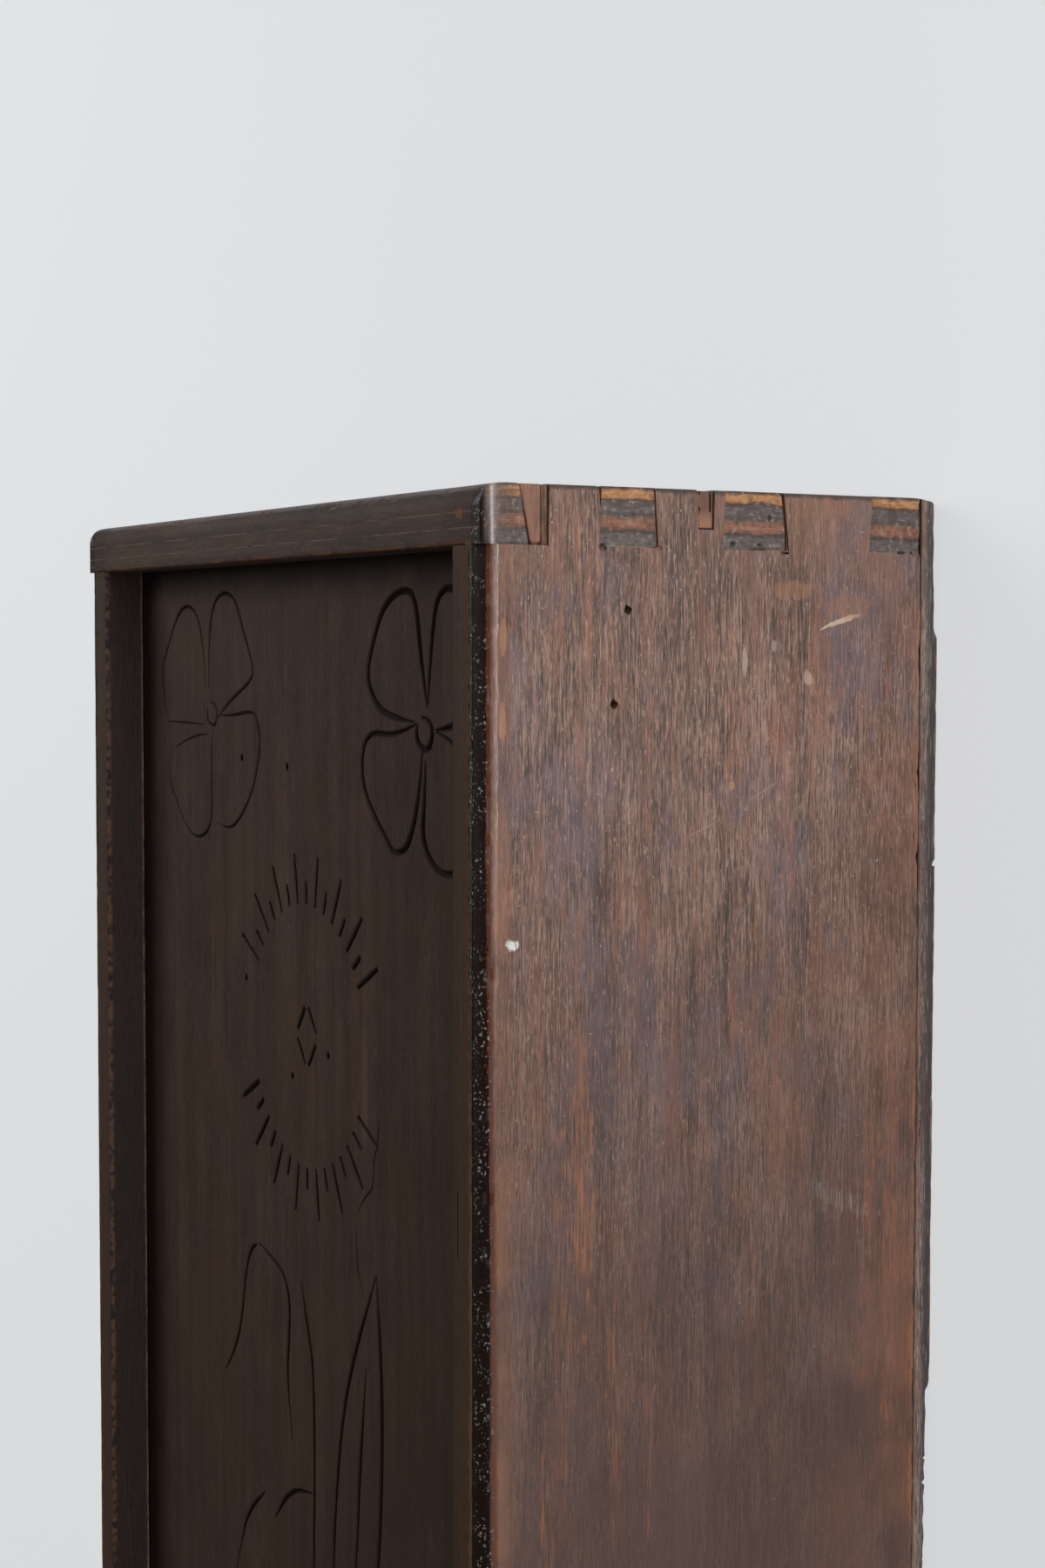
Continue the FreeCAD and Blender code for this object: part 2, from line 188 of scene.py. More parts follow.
def wanderingPlace(tree, place, grainAxis, sway, over):
    # bends the straight grain a little, as a real board's grain wanders
    scale = [1 / over] * 3
    scale[grainAxis] = 0.35 / over
    slow = addNode(tree, "Mapping", {"Vector": place, "Scale": scale})
    drift = addNode(tree, "TexNoise", {"Vector": slow, "Scale": 1.0, "Detail": 1.0}, out="Color")
    centred = addNode(tree, "VectorMath", {0: drift, 1: (0.5, 0.5, 0.5)}, operation="SUBTRACT")
    return addNode(tree, "VectorMath", {0: centred, 1: (sway, sway, sway), 2: place},
                   operation="MULTIPLY_ADD")


def grainPattern(tree, place, grainAxis, across, along, start, end, detail=2.0, shift=0.0):
    # noise drawn out along the grain, fading in between start and end
    scale = [1 / across] * 3
    scale[grainAxis] = 1 / along
    drawn = addNode(tree, "Mapping", {"Vector": place, "Location": [shift] * 3, "Scale": scale})
    noisy = addNode(tree, "TexNoise", {"Vector": drawn, "Scale": 1.0, "Detail": detail, "Roughness": 0.6})
    return addNode(tree, "MapRange", {0: noisy, 1: start, 2: end}, interpolation_type="SMOOTHSTEP")


def spotPattern(tree, place, centre, radii, turn=0.0, ragged=0.5):
    # one mark at a place: an ellipsoid with a ragged rim, turned in the plane of the board
    moved = addNode(tree, "VectorMath", {0: place, 1: centre}, operation="SUBTRACT")
    turned = addNode(tree, "Mapping", {"Vector": moved, "Rotation": (0, math.radians(turn), 0)})
    scaled = addNode(tree, "VectorMath", {0: turned, 1: radii}, operation="DIVIDE")
    reach = addNode(tree, "VectorMath", {0: scaled}, out="Value", operation="LENGTH")
    grit = 1.5 / math.sqrt(max(radii[0], radii[2]))
    rough = addNode(tree, "TexNoise", {"Vector": place, "Scale": grit, "Detail": 4.0})
    edge = addNode(tree, "Math", {0: rough, 1: ragged, 2: reach}, operation="MULTIPLY_ADD")
    return addNode(tree, "MapRange", {0: edge, 1: 1.0 + ragged / 2, 2: 0.6 + ragged / 2},
                   interpolation_type="SMOOTHSTEP")


def layTints(tree, colour, masks, tints):
    # each tint is the names of the masks that it lies under, a written colour or the name of a
    # colour pattern, and a strength, laid over the last
    for where, paint, strength in tints:
        mask = whereAll(tree, [masks[name] for name in where.split()])
        amount = addNode(tree, "Math", {0: mask, 1: strength}, operation="MULTIPLY")
        fill = linearColour(paint) if paint.startswith("#") else masks[paint]
        colour = addNode(tree, "Mix", {0: amount, 6: colour, 7: fill}, data_type="RGBA")
    return colour


def toneRamp(tree, tone, stops):
    # written colours set out along a tone from 0 to 1
    ramp = tree.nodes.new("ShaderNodeValToRGB")
    tree.links.new(tone, ramp.inputs[0])
    while len(ramp.color_ramp.elements) < len(stops):
        ramp.color_ramp.elements.new(0.5)
    for element, (position, hexColour) in zip(ramp.color_ramp.elements, stops):
        element.position = position
        element.color = linearColour(hexColour)
    return ramp.outputs[0]


def whereAll(tree, masks):
    # where every one of the masks is
    result = masks[0]
    for mask in masks[1:]:
        result = addNode(tree, "Math", {0: result, 1: mask}, operation="MULTIPLY")
    return result


def between(tree, value, low, high, soft):
    # 1 between two places and 0 outside them
    rise = addNode(tree, "MapRange", {0: value, 1: low - soft, 2: low + soft})
    fall = addNode(tree, "MapRange", {0: value, 1: high + soft, 2: high - soft})
    return whereAll(tree, [rise, fall])


def namedMasks(tree, ramps):
    # masks by name, each from a value: a fade has the places where it starts and where it is full,
    # and a band its low end, its high end and how soft both are
    masks = {}
    for name, (value, start, end, *soft) in ramps.items():
        if soft:
            masks[name] = between(tree, value, start, end, *soft)
        else:
            masks[name] = addNode(tree, "MapRange", {0: value, 1: start, 2: end})
    return masks


def dustPattern(tree, place, grit, start, end):
    # scattered specks, gathered in some places and absent in others
    speck = addNode(tree, "TexNoise", {"Vector": place, "Scale": 1 / grit, "Detail": 2.0})
    zone = addNode(tree, "TexNoise", {"Vector": place, "Scale": 0.11 / grit, "Detail": 2.0})
    masks = namedMasks(tree, {"dots": (speck, start, end), "gathered": (zone, 0.42, 0.6)})
    return whereAll(tree, [masks["dots"], masks["gathered"]])


longRub = 9.5      # half the length in millimetres from which a mark is a long rub


def addSpots(tree, place, masks, spots):
    # adds a mask for each mark, and gives the marks as tints
    tints = []
    for index, (centre, radii, turn, ragged, paint, strength) in enumerate(spots):
        masks[f"spot{index}"] = spotPattern(tree, place, centre, radii, turn, ragged)
        # a long rub only shows on the raised fibres
        where = f"spot{index} fibres" if radii[2] > longRub else f"spot{index}"
        tints.append((where, paint, strength))
    return tints


def roundRim(tree, out, z, reach, radius):
    # how far a place lies beyond the centre of the rim's rounding, and its angle round that centre
    fromCentre = addNode(tree, "Math", {0: out, 1: reach - radius}, operation="SUBTRACT")
    overCentre = addNode(tree, "Math", {0: z, 1: rim - radius}, operation="SUBTRACT")
    turn = addNode(tree, "Math", {0: overCentre, 1: fromCentre}, operation="ARCTAN2")
    return fromCentre, turn


def stainedWood(name, wood, extras=None):
    # Old stained and waxed wood: the plane left it flat, handling rubbed the stain off the
    # raised grain, and dust and wax have settled in the pores.
    material, tree = newTree(name)
    place, along = boxPlace(tree)
    axis = wood["grainAxis"]
    swayed = wanderingPlace(tree, place, axis, wood["sway"], 60.0)

    # pattern and how far it swings the tone: hairs 0.4 mm wide, fine fibres, bands, clouds of wear;
    # a pattern's numbers are its grain across and along, where it starts and is full, detail, shift
    patterns = [
        (grainPattern(tree, swayed, axis, 0.34, 8.0, 0.3, 0.7, 4.0), wood["hair"]),
        (grainPattern(tree, swayed, axis, 0.22, 2.2, 0.3, 0.7, 2.0, 13.0), wood["hair"] * 0.8),
        (grainPattern(tree, swayed, axis, 5.0, 120.0, 0.36, 0.64, 2.0, 5.0), wood["band"]),
        (grainPattern(tree, place, axis, 15.0, 26.0, 0.34, 0.66, 5.0, 23.0), wood["cloud"]),
    ]
    tone = 0.5 - sum(swing for pattern, swing in patterns) / 2
    for pattern, swing in patterns:
        tone = addNode(tree, "Math", {0: pattern, 1: swing, 2: tone}, operation="MULTIPLY_ADD")
    colour = toneRamp(tree, tone, wood["tones"])

    masks = {
        "bloom": grainPattern(tree, place, axis, 13.0, 27.0, 0.46, 0.66, 5.0, 41.0),
        "warm": grainPattern(tree, swayed, axis, 4.0, 34.0, 0.48, 0.66, 5.0, 47.0),
        "streak": whereAll(tree, [grainPattern(tree, swayed, axis, 1.0, 20.0, 0.5, 0.68, 4.0, 53.0),
                                  grainPattern(tree, place, axis, 13.0, 45.0, 0.44, 0.6, 2.0, 61.0)]),
        "pore": grainPattern(tree, swayed, axis, 0.26, 4.6, 0.6, 0.7, 2.0, 29.0),
        "fleck": grainPattern(tree, swayed, axis, 0.36, 2.0, 0.66, 0.74, 1.0, 71.0),
        "dust": dustPattern(tree, place, 0.8, 0.7, 0.74),
    }
    colour = layTints(tree, colour, masks, [(kind, *wood[kind]) for kind in masks])
    pore = masks["pore"]
    if extras:
        masks, tints = extras(tree, place, along)
        colour = layTints(tree, colour, masks, tints)

    dent = addNode(tree, "TexNoise", {"Vector": place, "Scale": 0.45, "Detail": 2.0})
    height = addNode(tree, "Math", {0: pore, 1: -0.5, 2: tone}, operation="MULTIPLY_ADD")
    height = addNode(tree, "Math", {0: dent, 1: 1.4, 2: height}, operation="MULTIPLY_ADD")
    relief = wood["relief"]
    roughness = wood["roughness"]
    rough = addNode(tree, "MapRange", {0: tone, 3: roughness - 0.07, 4: roughness + 0.07})
    if "polish" in masks:
        # handling has filled the pores there
        polish = masks["polish"]
        relief = addNode(tree, "MapRange", {0: polish, 3: relief, 4: relief * 0.12})
        rough = addNode(tree, "Mix", {0: polish, 2: rough, 3: wood["polished"]})
    bump = addNode(tree, "Bump", {"Strength": relief, "Distance": mm(0.14), "Height": height})
    shader = addNode(tree, "BsdfPrincipled",
                     {"Base Color": colour, "Roughness": rough, "IOR": 1.5, "Normal": bump,
                      "Specular IOR Level": wood["gloss"]})
    addNode(tree, "OutputMaterial", {"Surface": shader})
    return material


# Bench work: blanks, cuts and wear

def selectOnly(piece):
    bpy.ops.object.select_all(action="DESELECT")
    piece.select_set(True)
    bpy.context.view_layer.objects.active = piece


def openEdges(piece, test):
    # goes into edit mode with just the edges selected whose two ends pass the test
    selectOnly(piece)
    bpy.ops.object.mode_set(mode="EDIT")
    bpy.ops.mesh.select_mode(type="EDGE")
    bpy.ops.mesh.select_all(action="DESELECT")
    mesh = bmesh.from_edit_mesh(piece.data)
    for edge in mesh.edges:
        if test(*[vertex.co * 1000 for vertex in edge.verts]):
            edge.select_set(True)
    bmesh.update_edit_mesh(piece.data)


def openAll(piece):
    # goes into edit mode with all of the piece selected
    selectOnly(piece)
    bpy.ops.object.mode_set(mode="EDIT")
    bpy.ops.mesh.select_all(action="SELECT")


def closeEdit():
    bpy.ops.object.mode_set(mode="OBJECT")


def mergeDoubles(piece, distance):
    # closes the points that meet, and turns all faces outwards
    openAll(piece)
    bpy.ops.mesh.remove_doubles(threshold=mm(distance))
    bpy.ops.mesh.normals_make_consistent(inside=False)
    closeEdit()


def scribe(piece, axis, places):
    # draws a line of edges round the piece at each place along one axis
    normal = [0, 0, 0]
    normal[axis] = 1
    openAll(piece)
    for place in places:
        bpy.ops.mesh.select_all(action="SELECT")
        bpy.ops.mesh.bisect(plane_co=[mm(place) * part for part in normal], plane_no=normal)
    closeEdit()


def addBlank(name, low, high):
    # a planed blank: a cube at its size and place, with its place put in its mesh
    blank = addShape("cube", size=1, location=(Vector(low) + Vector(high)) / 2000)
    blank.name = name
    blank.data.name = name
    blank.scale = (Vector(high) - Vector(low)) / 1000
    bpy.ops.object.transform_apply(location=True, rotation=True, scale=True)
    return blank


def sliceBoard(piece, axis, *counts):
    # cuts the piece across one axis into many slices, and each of those again by the next count
    def runsAlong(start, end):
        step = end - start
        return abs(step[axis]) > 0.99999 * step.length
    for count in counts:
        openEdges(piece, runsAlong)
        bpy.ops.mesh.subdivide(number_cuts=count)
        closeEdit()


def roundOver(piece, size, segments, test):
    openEdges(piece, test)
    bpy.ops.mesh.bevel(offset=mm(size), segments=segments, profile=0.5, affect="EDGES",
                       clamp_overlap=False)
    closeEdit()


def onPlanes(*planes):
    # a test for edges that lie on all the planes, each given as an axis and a place
    def test(start, end):
        return all(abs(point[axis] - place) < 0.01 for point in (start, end) for axis, place in planes)
    return test


def addFlanked(name, root, tip, yLow, yHigh):
    # a dovetail shape: root and tip are each a place along X with a low and a high place in Z
    shape = addShape("cube", size=2)
    shape.name = name
    for vertex in shape.data.vertices:
        x, low, high = tip if vertex.co.x > 0 else root
        y = yHigh if vertex.co.y > 0 else yLow
        z = high if vertex.co.z > 0 else low
        vertex.co = (mm(x), mm(y), mm(z))
    mergeDoubles(shape, 0.001)
    return shape


def joined(name, parts):
    bpy.ops.object.select_all(action="DESELECT")
    for part in parts:
        part.select_set(True)
    bpy.context.view_layer.objects.active = parts[0]
    if len(parts) > 1:
        bpy.ops.object.join()
    whole = bpy.context.object
    whole.name = name
    whole.data.name = name
    return whole


def cutAway(piece, cutters):
    # takes each cutter's shape out of the piece and throws the cutter away
    for cutter in cutters:
        selectOnly(piece)
        cut = piece.modifiers.new("cut", "BOOLEAN")
        cut.operation = "DIFFERENCE"
        cut.solver = "EXACT"
        cut.object = cutter
        before = len(piece.data.polygons)
        bpy.ops.object.modifier_apply(modifier=cut.name)
        if len(piece.data.polygons) < before / 2:
            raise RuntimeError(f"{cutter.name} took away most of {piece.name}")
        bpy.data.objects.remove(cutter, do_unlink=True)
    # a cut along a worn edge can lose a sliver
    openAll(piece)
    bpy.ops.mesh.fill_holes(sides=8)
    closeEdit()


def addHole(centre, radius, depth, axis, sides=14):
    # a drill for a round hole, centred on a point
    turn = {0: (0, math.pi / 2, 0), 1: (math.pi / 2, 0, 0), 2: (0, 0, 0)}[axis]
    drill = addShape("cylinder", vertices=sides, radius=mm(radius), depth=mm(2 * depth),
                     location=[mm(value) for value in centre], rotation=turn)
    bpy.ops.object.transform_apply(location=True, rotation=True, scale=True)
    return drill


def addChips(places, firstSeed):
    # small splintered lumps, for what has broken away at an edge, each a centre and half sizes
    chips = []
    for seed, (centre, size) in enumerate(places, firstSeed):
        chip = addShape("ico_sphere", subdivisions=2, radius=1, location=(0, 0, 0))
        dice = random.Random(seed)
        for vertex in chip.data.vertices:
            swell = dice.uniform(0.75, 1.2)
            for axis in range(3):
                vertex.co[axis] = mm(centre[axis] + vertex.co[axis] * swell * size[axis])
        chips.append(chip)
    return chips


wearing = {
    "leastLean": 0.02,
    "fullLean": 0.25,         # how far a normal leans where the wear is full
    "rubs": (11, 0.9),        # size in millimetres and share of the depth
    "smallRubs": (2.6, 0.7),
    "dents": (4.5, 3.2),
    "dentsStart": 0.38,       # the higher, the fewer dents
}


def wearDown(piece, depth, seed):
    # rubs and dents every edge: the more a point's normal leans, the deeper it may go
    rubSize, rubShare = wearing["rubs"]
    smallSize, smallShare = wearing["smallRubs"]
    dentSize, dentShare = wearing["dents"]
    shift = Vector((seed * 3.1, seed * 1.7, seed * 2.3))
    moves = []
    for vertex in piece.data.vertices:
        normal = vertex.normal
        lean = min(1.0, (1 - max(abs(part) for part in normal)) / wearing["fullLean"])
        if lean < wearing["leastLean"]:
            continue
        place = vertex.co * 1000
        rub = max(0.0, noise.noise(place / rubSize + shift))
        small = max(0.0, noise.noise(place / smallSize - shift))
        dent = max(0.0, noise.noise(place / dentSize + shift * 2) - wearing["dentsStart"])
        worn = rubShare * rub + smallShare * small + dentShare * dent
        moves.append((vertex, normal * -mm(depth * lean * worn)))
    for vertex, move in moves:
        vertex.co = vertex.co + move


def finishPiece(piece, body, material, nodes, smoothTo=38, dull=None, inward=None):
    selectOnly(piece)
    piece.data.materials.clear()
    piece.data.materials.append(material)
    if dull:
        # the front of the rim and the walls over the lid, where grime has taken the polish
        piece.data.materials.append(dull)
        for face in piece.data.polygons:
            if max(face.normal.z, face.normal.dot(inward)) > 0.68 and face.center.z * 1000 > lidFace:
                face.material_index = 1
    bpy.ops.object.shade_smooth_by_angle(angle=math.radians(smoothTo))
    even = piece.modifiers.new("even", "WEIGHTED_NORMAL")
    even.keep_sharp = True
    bpy.ops.object.modifier_apply(modifier=even.name)
    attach(piece, body)
    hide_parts(*nodes)
    print(f"{piece.name}: {len(piece.data.polygons)} faces")


# Places that several boards share, from the frame

nearLow, nearHigh = placesOf("near_side_board")
farLow = placesOf("far_side_board")[0]
endLow, endHigh = placesOf("closed_end_board")
mouthLow, mouthHigh = placesOf("mouth_end_board")
lidHigh = placesOf("lid_panel")[1]
stripLow, stripHigh = placesOf("near_corner_strip")
wedgeLow, wedgeHigh = placesOf("near_corner_wedge")
smallWedgeLow, smallWedgeHigh = placesOf("tail_wedge")
bottomLow, bottomHigh = placesOf("bottom_board")
foot = nearLow.z
rim = nearHigh.z
grooveFloor = stripLow.z
lidFace = lidHigh.z

joint = {
    "firstPin": 14.1,      # root widths of the pins, from the rim down
    "secondPin": 16.1,
    "backPin": 13.8,
    "draw": 0.8,           # how much a flank narrows from root to tip
    "firstTailShare": 0.24,
    "secondTailShare": 0.32,
    "gap": 0.14,           # opened up round the pins by age
    "overrun": 2.0,        # how far a cutter runs past the wood
}
tailWood = grooveFloor - foot - joint["firstPin"] - joint["secondPin"] - joint["backPin"]
firstPinHigh = grooveFloor - tailWood * joint["firstTailShare"]
firstPinLow = firstPinHigh - joint["firstPin"]
secondPinHigh = firstPinLow - tailWood * joint["secondTailShare"]
secondPinLow = secondPinHigh - joint["secondPin"]
backPinHigh = foot + joint["backPin"]


def stretched(root, tip, overrun):
    # carries a dovetail's flanks on past its root and tip, so that a cutter clears the wood
    length = abs(tip[0] - root[0])
    way = 1 if tip[0] > root[0] else -1
    share = overrun / length
    newTip = [tip[0] + way * overrun] + [tip[i] + (tip[i] - root[i]) * share for i in (1, 2)]
    return root, newTip


def pinCutters(root, tip, yLow, yHigh):
    # the sockets in a side board for the three pins at one end of the box
    draw = joint["draw"]
    over = joint["overrun"]
    heights = [
        (foot - over, backPinHigh, foot - over, backPinHigh - draw),
        (secondPinLow, secondPinHigh, secondPinLow + draw, secondPinHigh - draw),
        (firstPinLow, firstPinHigh, firstPinLow + draw, firstPinHigh - draw),
    ]
    cutters = []
    for rootLow, rootHigh, tipLow, tipHigh in heights:
        ends = stretched((root, rootLow, rootHigh), (tip, tipLow, tipHigh), over)
        cutters.append(addFlanked("socket", *ends, yLow, yHigh))
    return cutters


def tailCutters(root, tip, yLow, yHigh, opening):
    # what is cut from an end board to leave its pins: two tails and the open top
    draw = joint["draw"]
    gap = joint["gap"]
    over = joint["overrun"]
    rootHigh, tipHigh = opening
    heights = [
        (backPinHigh - gap, secondPinLow + gap, backPinHigh - draw - gap, secondPinLow + draw + gap),
        (secondPinHigh - gap, firstPinLow + gap, secondPinHigh - draw - gap, firstPinLow + draw + gap),
        (firstPinHigh - gap, rootHigh + gap, firstPinHigh - draw - gap, tipHigh + gap),
    ]
    cutters = []
    for rootLow, rootTop, tipLow, tipTop in heights:
        ends = stretched((root, rootLow, rootTop), (tip, tipLow, tipTop), over)
        inner = (ends[0][0] - (over if tip > root else -over),) + tuple(ends[0][1:])
        cutters.append(addFlanked("tail", inner, ends[1], yLow, yHigh))
    return cutters


# Side boards

sideBoard = {
    "longSlices": (99, 2),
    "tallSlices": 47,
    "rounding": 4.4,
    "arris": 0.8,             # rubbed round at the closed end
    "quirkPlace": 5.0,        # outer face to the little step beside the rounding
    "quirkWidth": 0.12,
    "quirkDepth": 0.28,
    "quirkReach": 2.5,        # how far it goes down from the rim
    "quirkFade": 2.0,         # and over how much of that it runs out
    "innerRounding": 0.5,
    "wear": 0.42,
    "grooveDepth": 5.0,
    "grooveTop": lidFace + 0.3,
    "wormRadius": 0.92,
    "wormDepth": 6.0,
    "nearWorms": [(155.5, 78.9), (136.7, 82.1)],    # X and Z
    "farWorms": [(-96.0, 31.0), (18.5, 74.0), (22.0, 68.5)],
    "chips": [
        # centre, half sizes: what has broken away at the pins and at the near edge
        ((167.9, -111, 84.9), (0.8, 1.1, 1.0)),
        ((168.1, -111, 7.0), (0.6, 0.9, 0.7)),
        ((168.3, -111, 10.6), (0.5, 0.8, 1.5)),
        ((168.0, -111, 71.6), (0.6, 0.7, 0.9)),
        ((141.7, -111, 34.4), (1.6, 0.22, 1.1)),
        ((89.5, -111, 105.4), (1.5, 0.3, 1.1)),
        ((180.2, -111, 91.5), (1.3, 0.5, 2.6)),
        ((180.3, -111, 66.0), (1.2, 0.5, 1.8)),
        ((180.3, -111, 28.0), (1.1, 0.4, 3.2)),
    ],
    "cracks": [
        # X and the low and high Z at the inner and outer ends of each gap, and its depth
        ((175.4, 85.1, 85.3), (180.6, 84.8, 85.9), 2.5),
        ((168.0, 39.5, 39.85), (180.6, 40.9, 41.5), 2.4),
        ((167.3, 39.5, 41.6), (167.8, 39.5, 41.6), 1.4),
        ((167.6, 97.2, 97.4), (180.6, 97.0, 97.4), 1.2),
    ],
    "slit": ((39.5, 25.9), -100.5, 0.55, 3.0),      # X from and to, Y, width, depth
    "grimeGloss": 0.1,
}


def lineMark(start, end, width, ragged, hexColour, strength):
    # a scratch or rub from one X and Z to another, as a mark
    along = Vector((end[0] - start[0], end[1] - start[1]))
    centre = ((start[0] + end[0]) / 2, -111, (start[1] + end[1]) / 2)
    turn = math.degrees(math.atan2(-along.x, along.y))
    return centre, (width / 2, 3, along.length / 2), turn, ragged, hexColour, strength


sideTints = [
    # the masks that a tint lies under, its colour and its strength, each laid over the last
    # partly patina, partly painted shade: darker and redder away from the closed end, where the light
    # falls off
    ("handled onFace", "#432a20", 0.8),
    ("tails patchy", "#93684c", 0.45),
    ("backWarm patchy", "#8a573d", 0.35),
    ("backLine patchy", "#a0653c", 0.5),
    ("front brownStrip", "#47301f", 0.94),
    ("front midLine broken", "#6b5241", 0.5),
    ("front greyStrip", "#3f3027", 0.94),
    ("front greyStrip patchy", "#4c3524", 0.4),
    # painted shade on the inner walls over the lid
    ("inner above", "#282120", 0.94),
    ("inner below", "#a58466", 0.75),
    ("rubbed nearRim", "#5f4238", 0.45),
    ("rubbed nearRim patchy", "#a4714f", 0.3),
    ("rimSide rust", "#5c2e19", 0.94),
    ("rimSide grime", "#1a0e0a", 0.97),
    ("rimSide dust dusty", "#c4beb4", 0.6),
    # painted highlight where the quirk's edge catches the light
    ("front quirk broken", "#7c614c", 0.5),
    # painted highlight along the inner arris
    ("front innerLine broken", "#7a5a44", 0.5),
    ("arris onFace", "#33251d", 0.85),
]


def sideExtras(outerY, marks):
    # what time has left on a side board, beside its grain
    sign = 1 if outerY > 0 else -1
    reach = abs(outerY)
    radius = sideBoard["rounding"]

    def extras(tree, place, along):
        x, y, z = along
        out = addNode(tree, "Math", {0: y, 1: sign}, operation="MULTIPLY")
        fromCentre, turn = roundRim(tree, out, z, reach, radius)
        crumb = addNode(tree, "TexNoise", {"Vector": place, "Scale": 0.5, "Detail": 4.0})
        broad = addNode(tree, "TexNoise", {"Vector": place, "Scale": 0.06, "Detail": 3.0})
        held = addNode(tree, "MapRange", {0: x, 1: 110.0, 2: 15.0, 4: 0.24})
        ragged = addNode(tree, "Math", {0: crumb, 1: 0.24, 2: turn}, operation="MULTIPLY_ADD")
        ragged = addNode(tree, "Math", {0: ragged, 1: held})
        low = addNode(tree, "Math", {0: broad, 1: 90.0, 2: x}, operation="MULTIPLY_ADD")
        endPlace = addNode(tree, "Math", {0: crumb, 1: 1.8, 2: x}, operation="MULTIPLY_ADD")
        backPlace = addNode(tree, "Math", {0: crumb, 1: 2.2, 2: z}, operation="MULTIPLY_ADD")
        masks = namedMasks(tree, {
            "patchy": (broad, 0.4, 0.6),
            "broken": (crumb, 0.42, 0.58),

            # round the rim: a polished line beside the face, a red brown line, then a band of grime
            "rimSide": (z, rim - radius - 0.3, rim - radius + 0.1),
            "nearRim": (z, rim - 8.5, rim - radius),
            "onRounding": (fromCentre, radius - 0.6, radius),
            "rubbed": (ragged, -0.35, 0.66, 0.1),
            "rust": (ragged, 0.62, 0.92, 0.07),
            "grime": (ragged, 0.88, 2.0, 0.03),
            "dusty": (ragged, 0.8, 1.9, 0.1),

            # on the front of the rim: a brown strip, a greyer strip, a rubbed line between them, and
            # painted highlights along the quirk's edge and the inner arris
            "front": (z, rim - 1.6, rim - 0.9),
            "brownStrip": (out, reach - 9.0, reach - 4.0, 0.12),
            "greyStrip": (out, reach - 12.8, reach - 9.0, 0.12),
            "quirk": (out, reach - 5.9, reach - 5.5, 0.1),
            "midLine": (out, reach - 9.15, reach - 8.85, 0.08),
            "innerLine": (out, reach - 12.9, reach - 12.4, 0.1),

            # down the outer face: darker and redder away from the closed end, partly patina and partly
            # painted shade for the light falling off, and dark at its arris
            "onFace": (out, reach - 4.4, reach - 2.5),
            "handled": (low, 165.0, 25.0),
            "tails": (x, 158.0, 176.0),
            "arris": (endPlace, endHigh.x - 0.35, endHigh.x + 0.35),
            "backLine": (backPlace, foot + 1.1, foot + 2.0, 0.25),
            "backWarm": (z, 34.0, 8.0),

            # on the inner face: painted shade on the wall over the lid, bare wood below it
            "inner": (out, reach - 12.0, reach - 12.7),
            "above": (z, lidFace, lidFace + 1),
            "below": (z, lidFace + 0.4, lidFace - 0.4),
        })
        masks["dust"] = dustPattern(tree, place, 0.62, 0.6, 0.66)
        masks["fibres"] = grainPattern(tree, place, 0, 0.5, 11.0, 0.44, 0.68, 5.0, 111.0)
        masks["polish"] = whereAll(tree, [masks["rubbed"], masks["nearRim"], masks["onRounding"]])
        return masks, sideTints + addSpots(tree, place, masks, marks)
    return extras


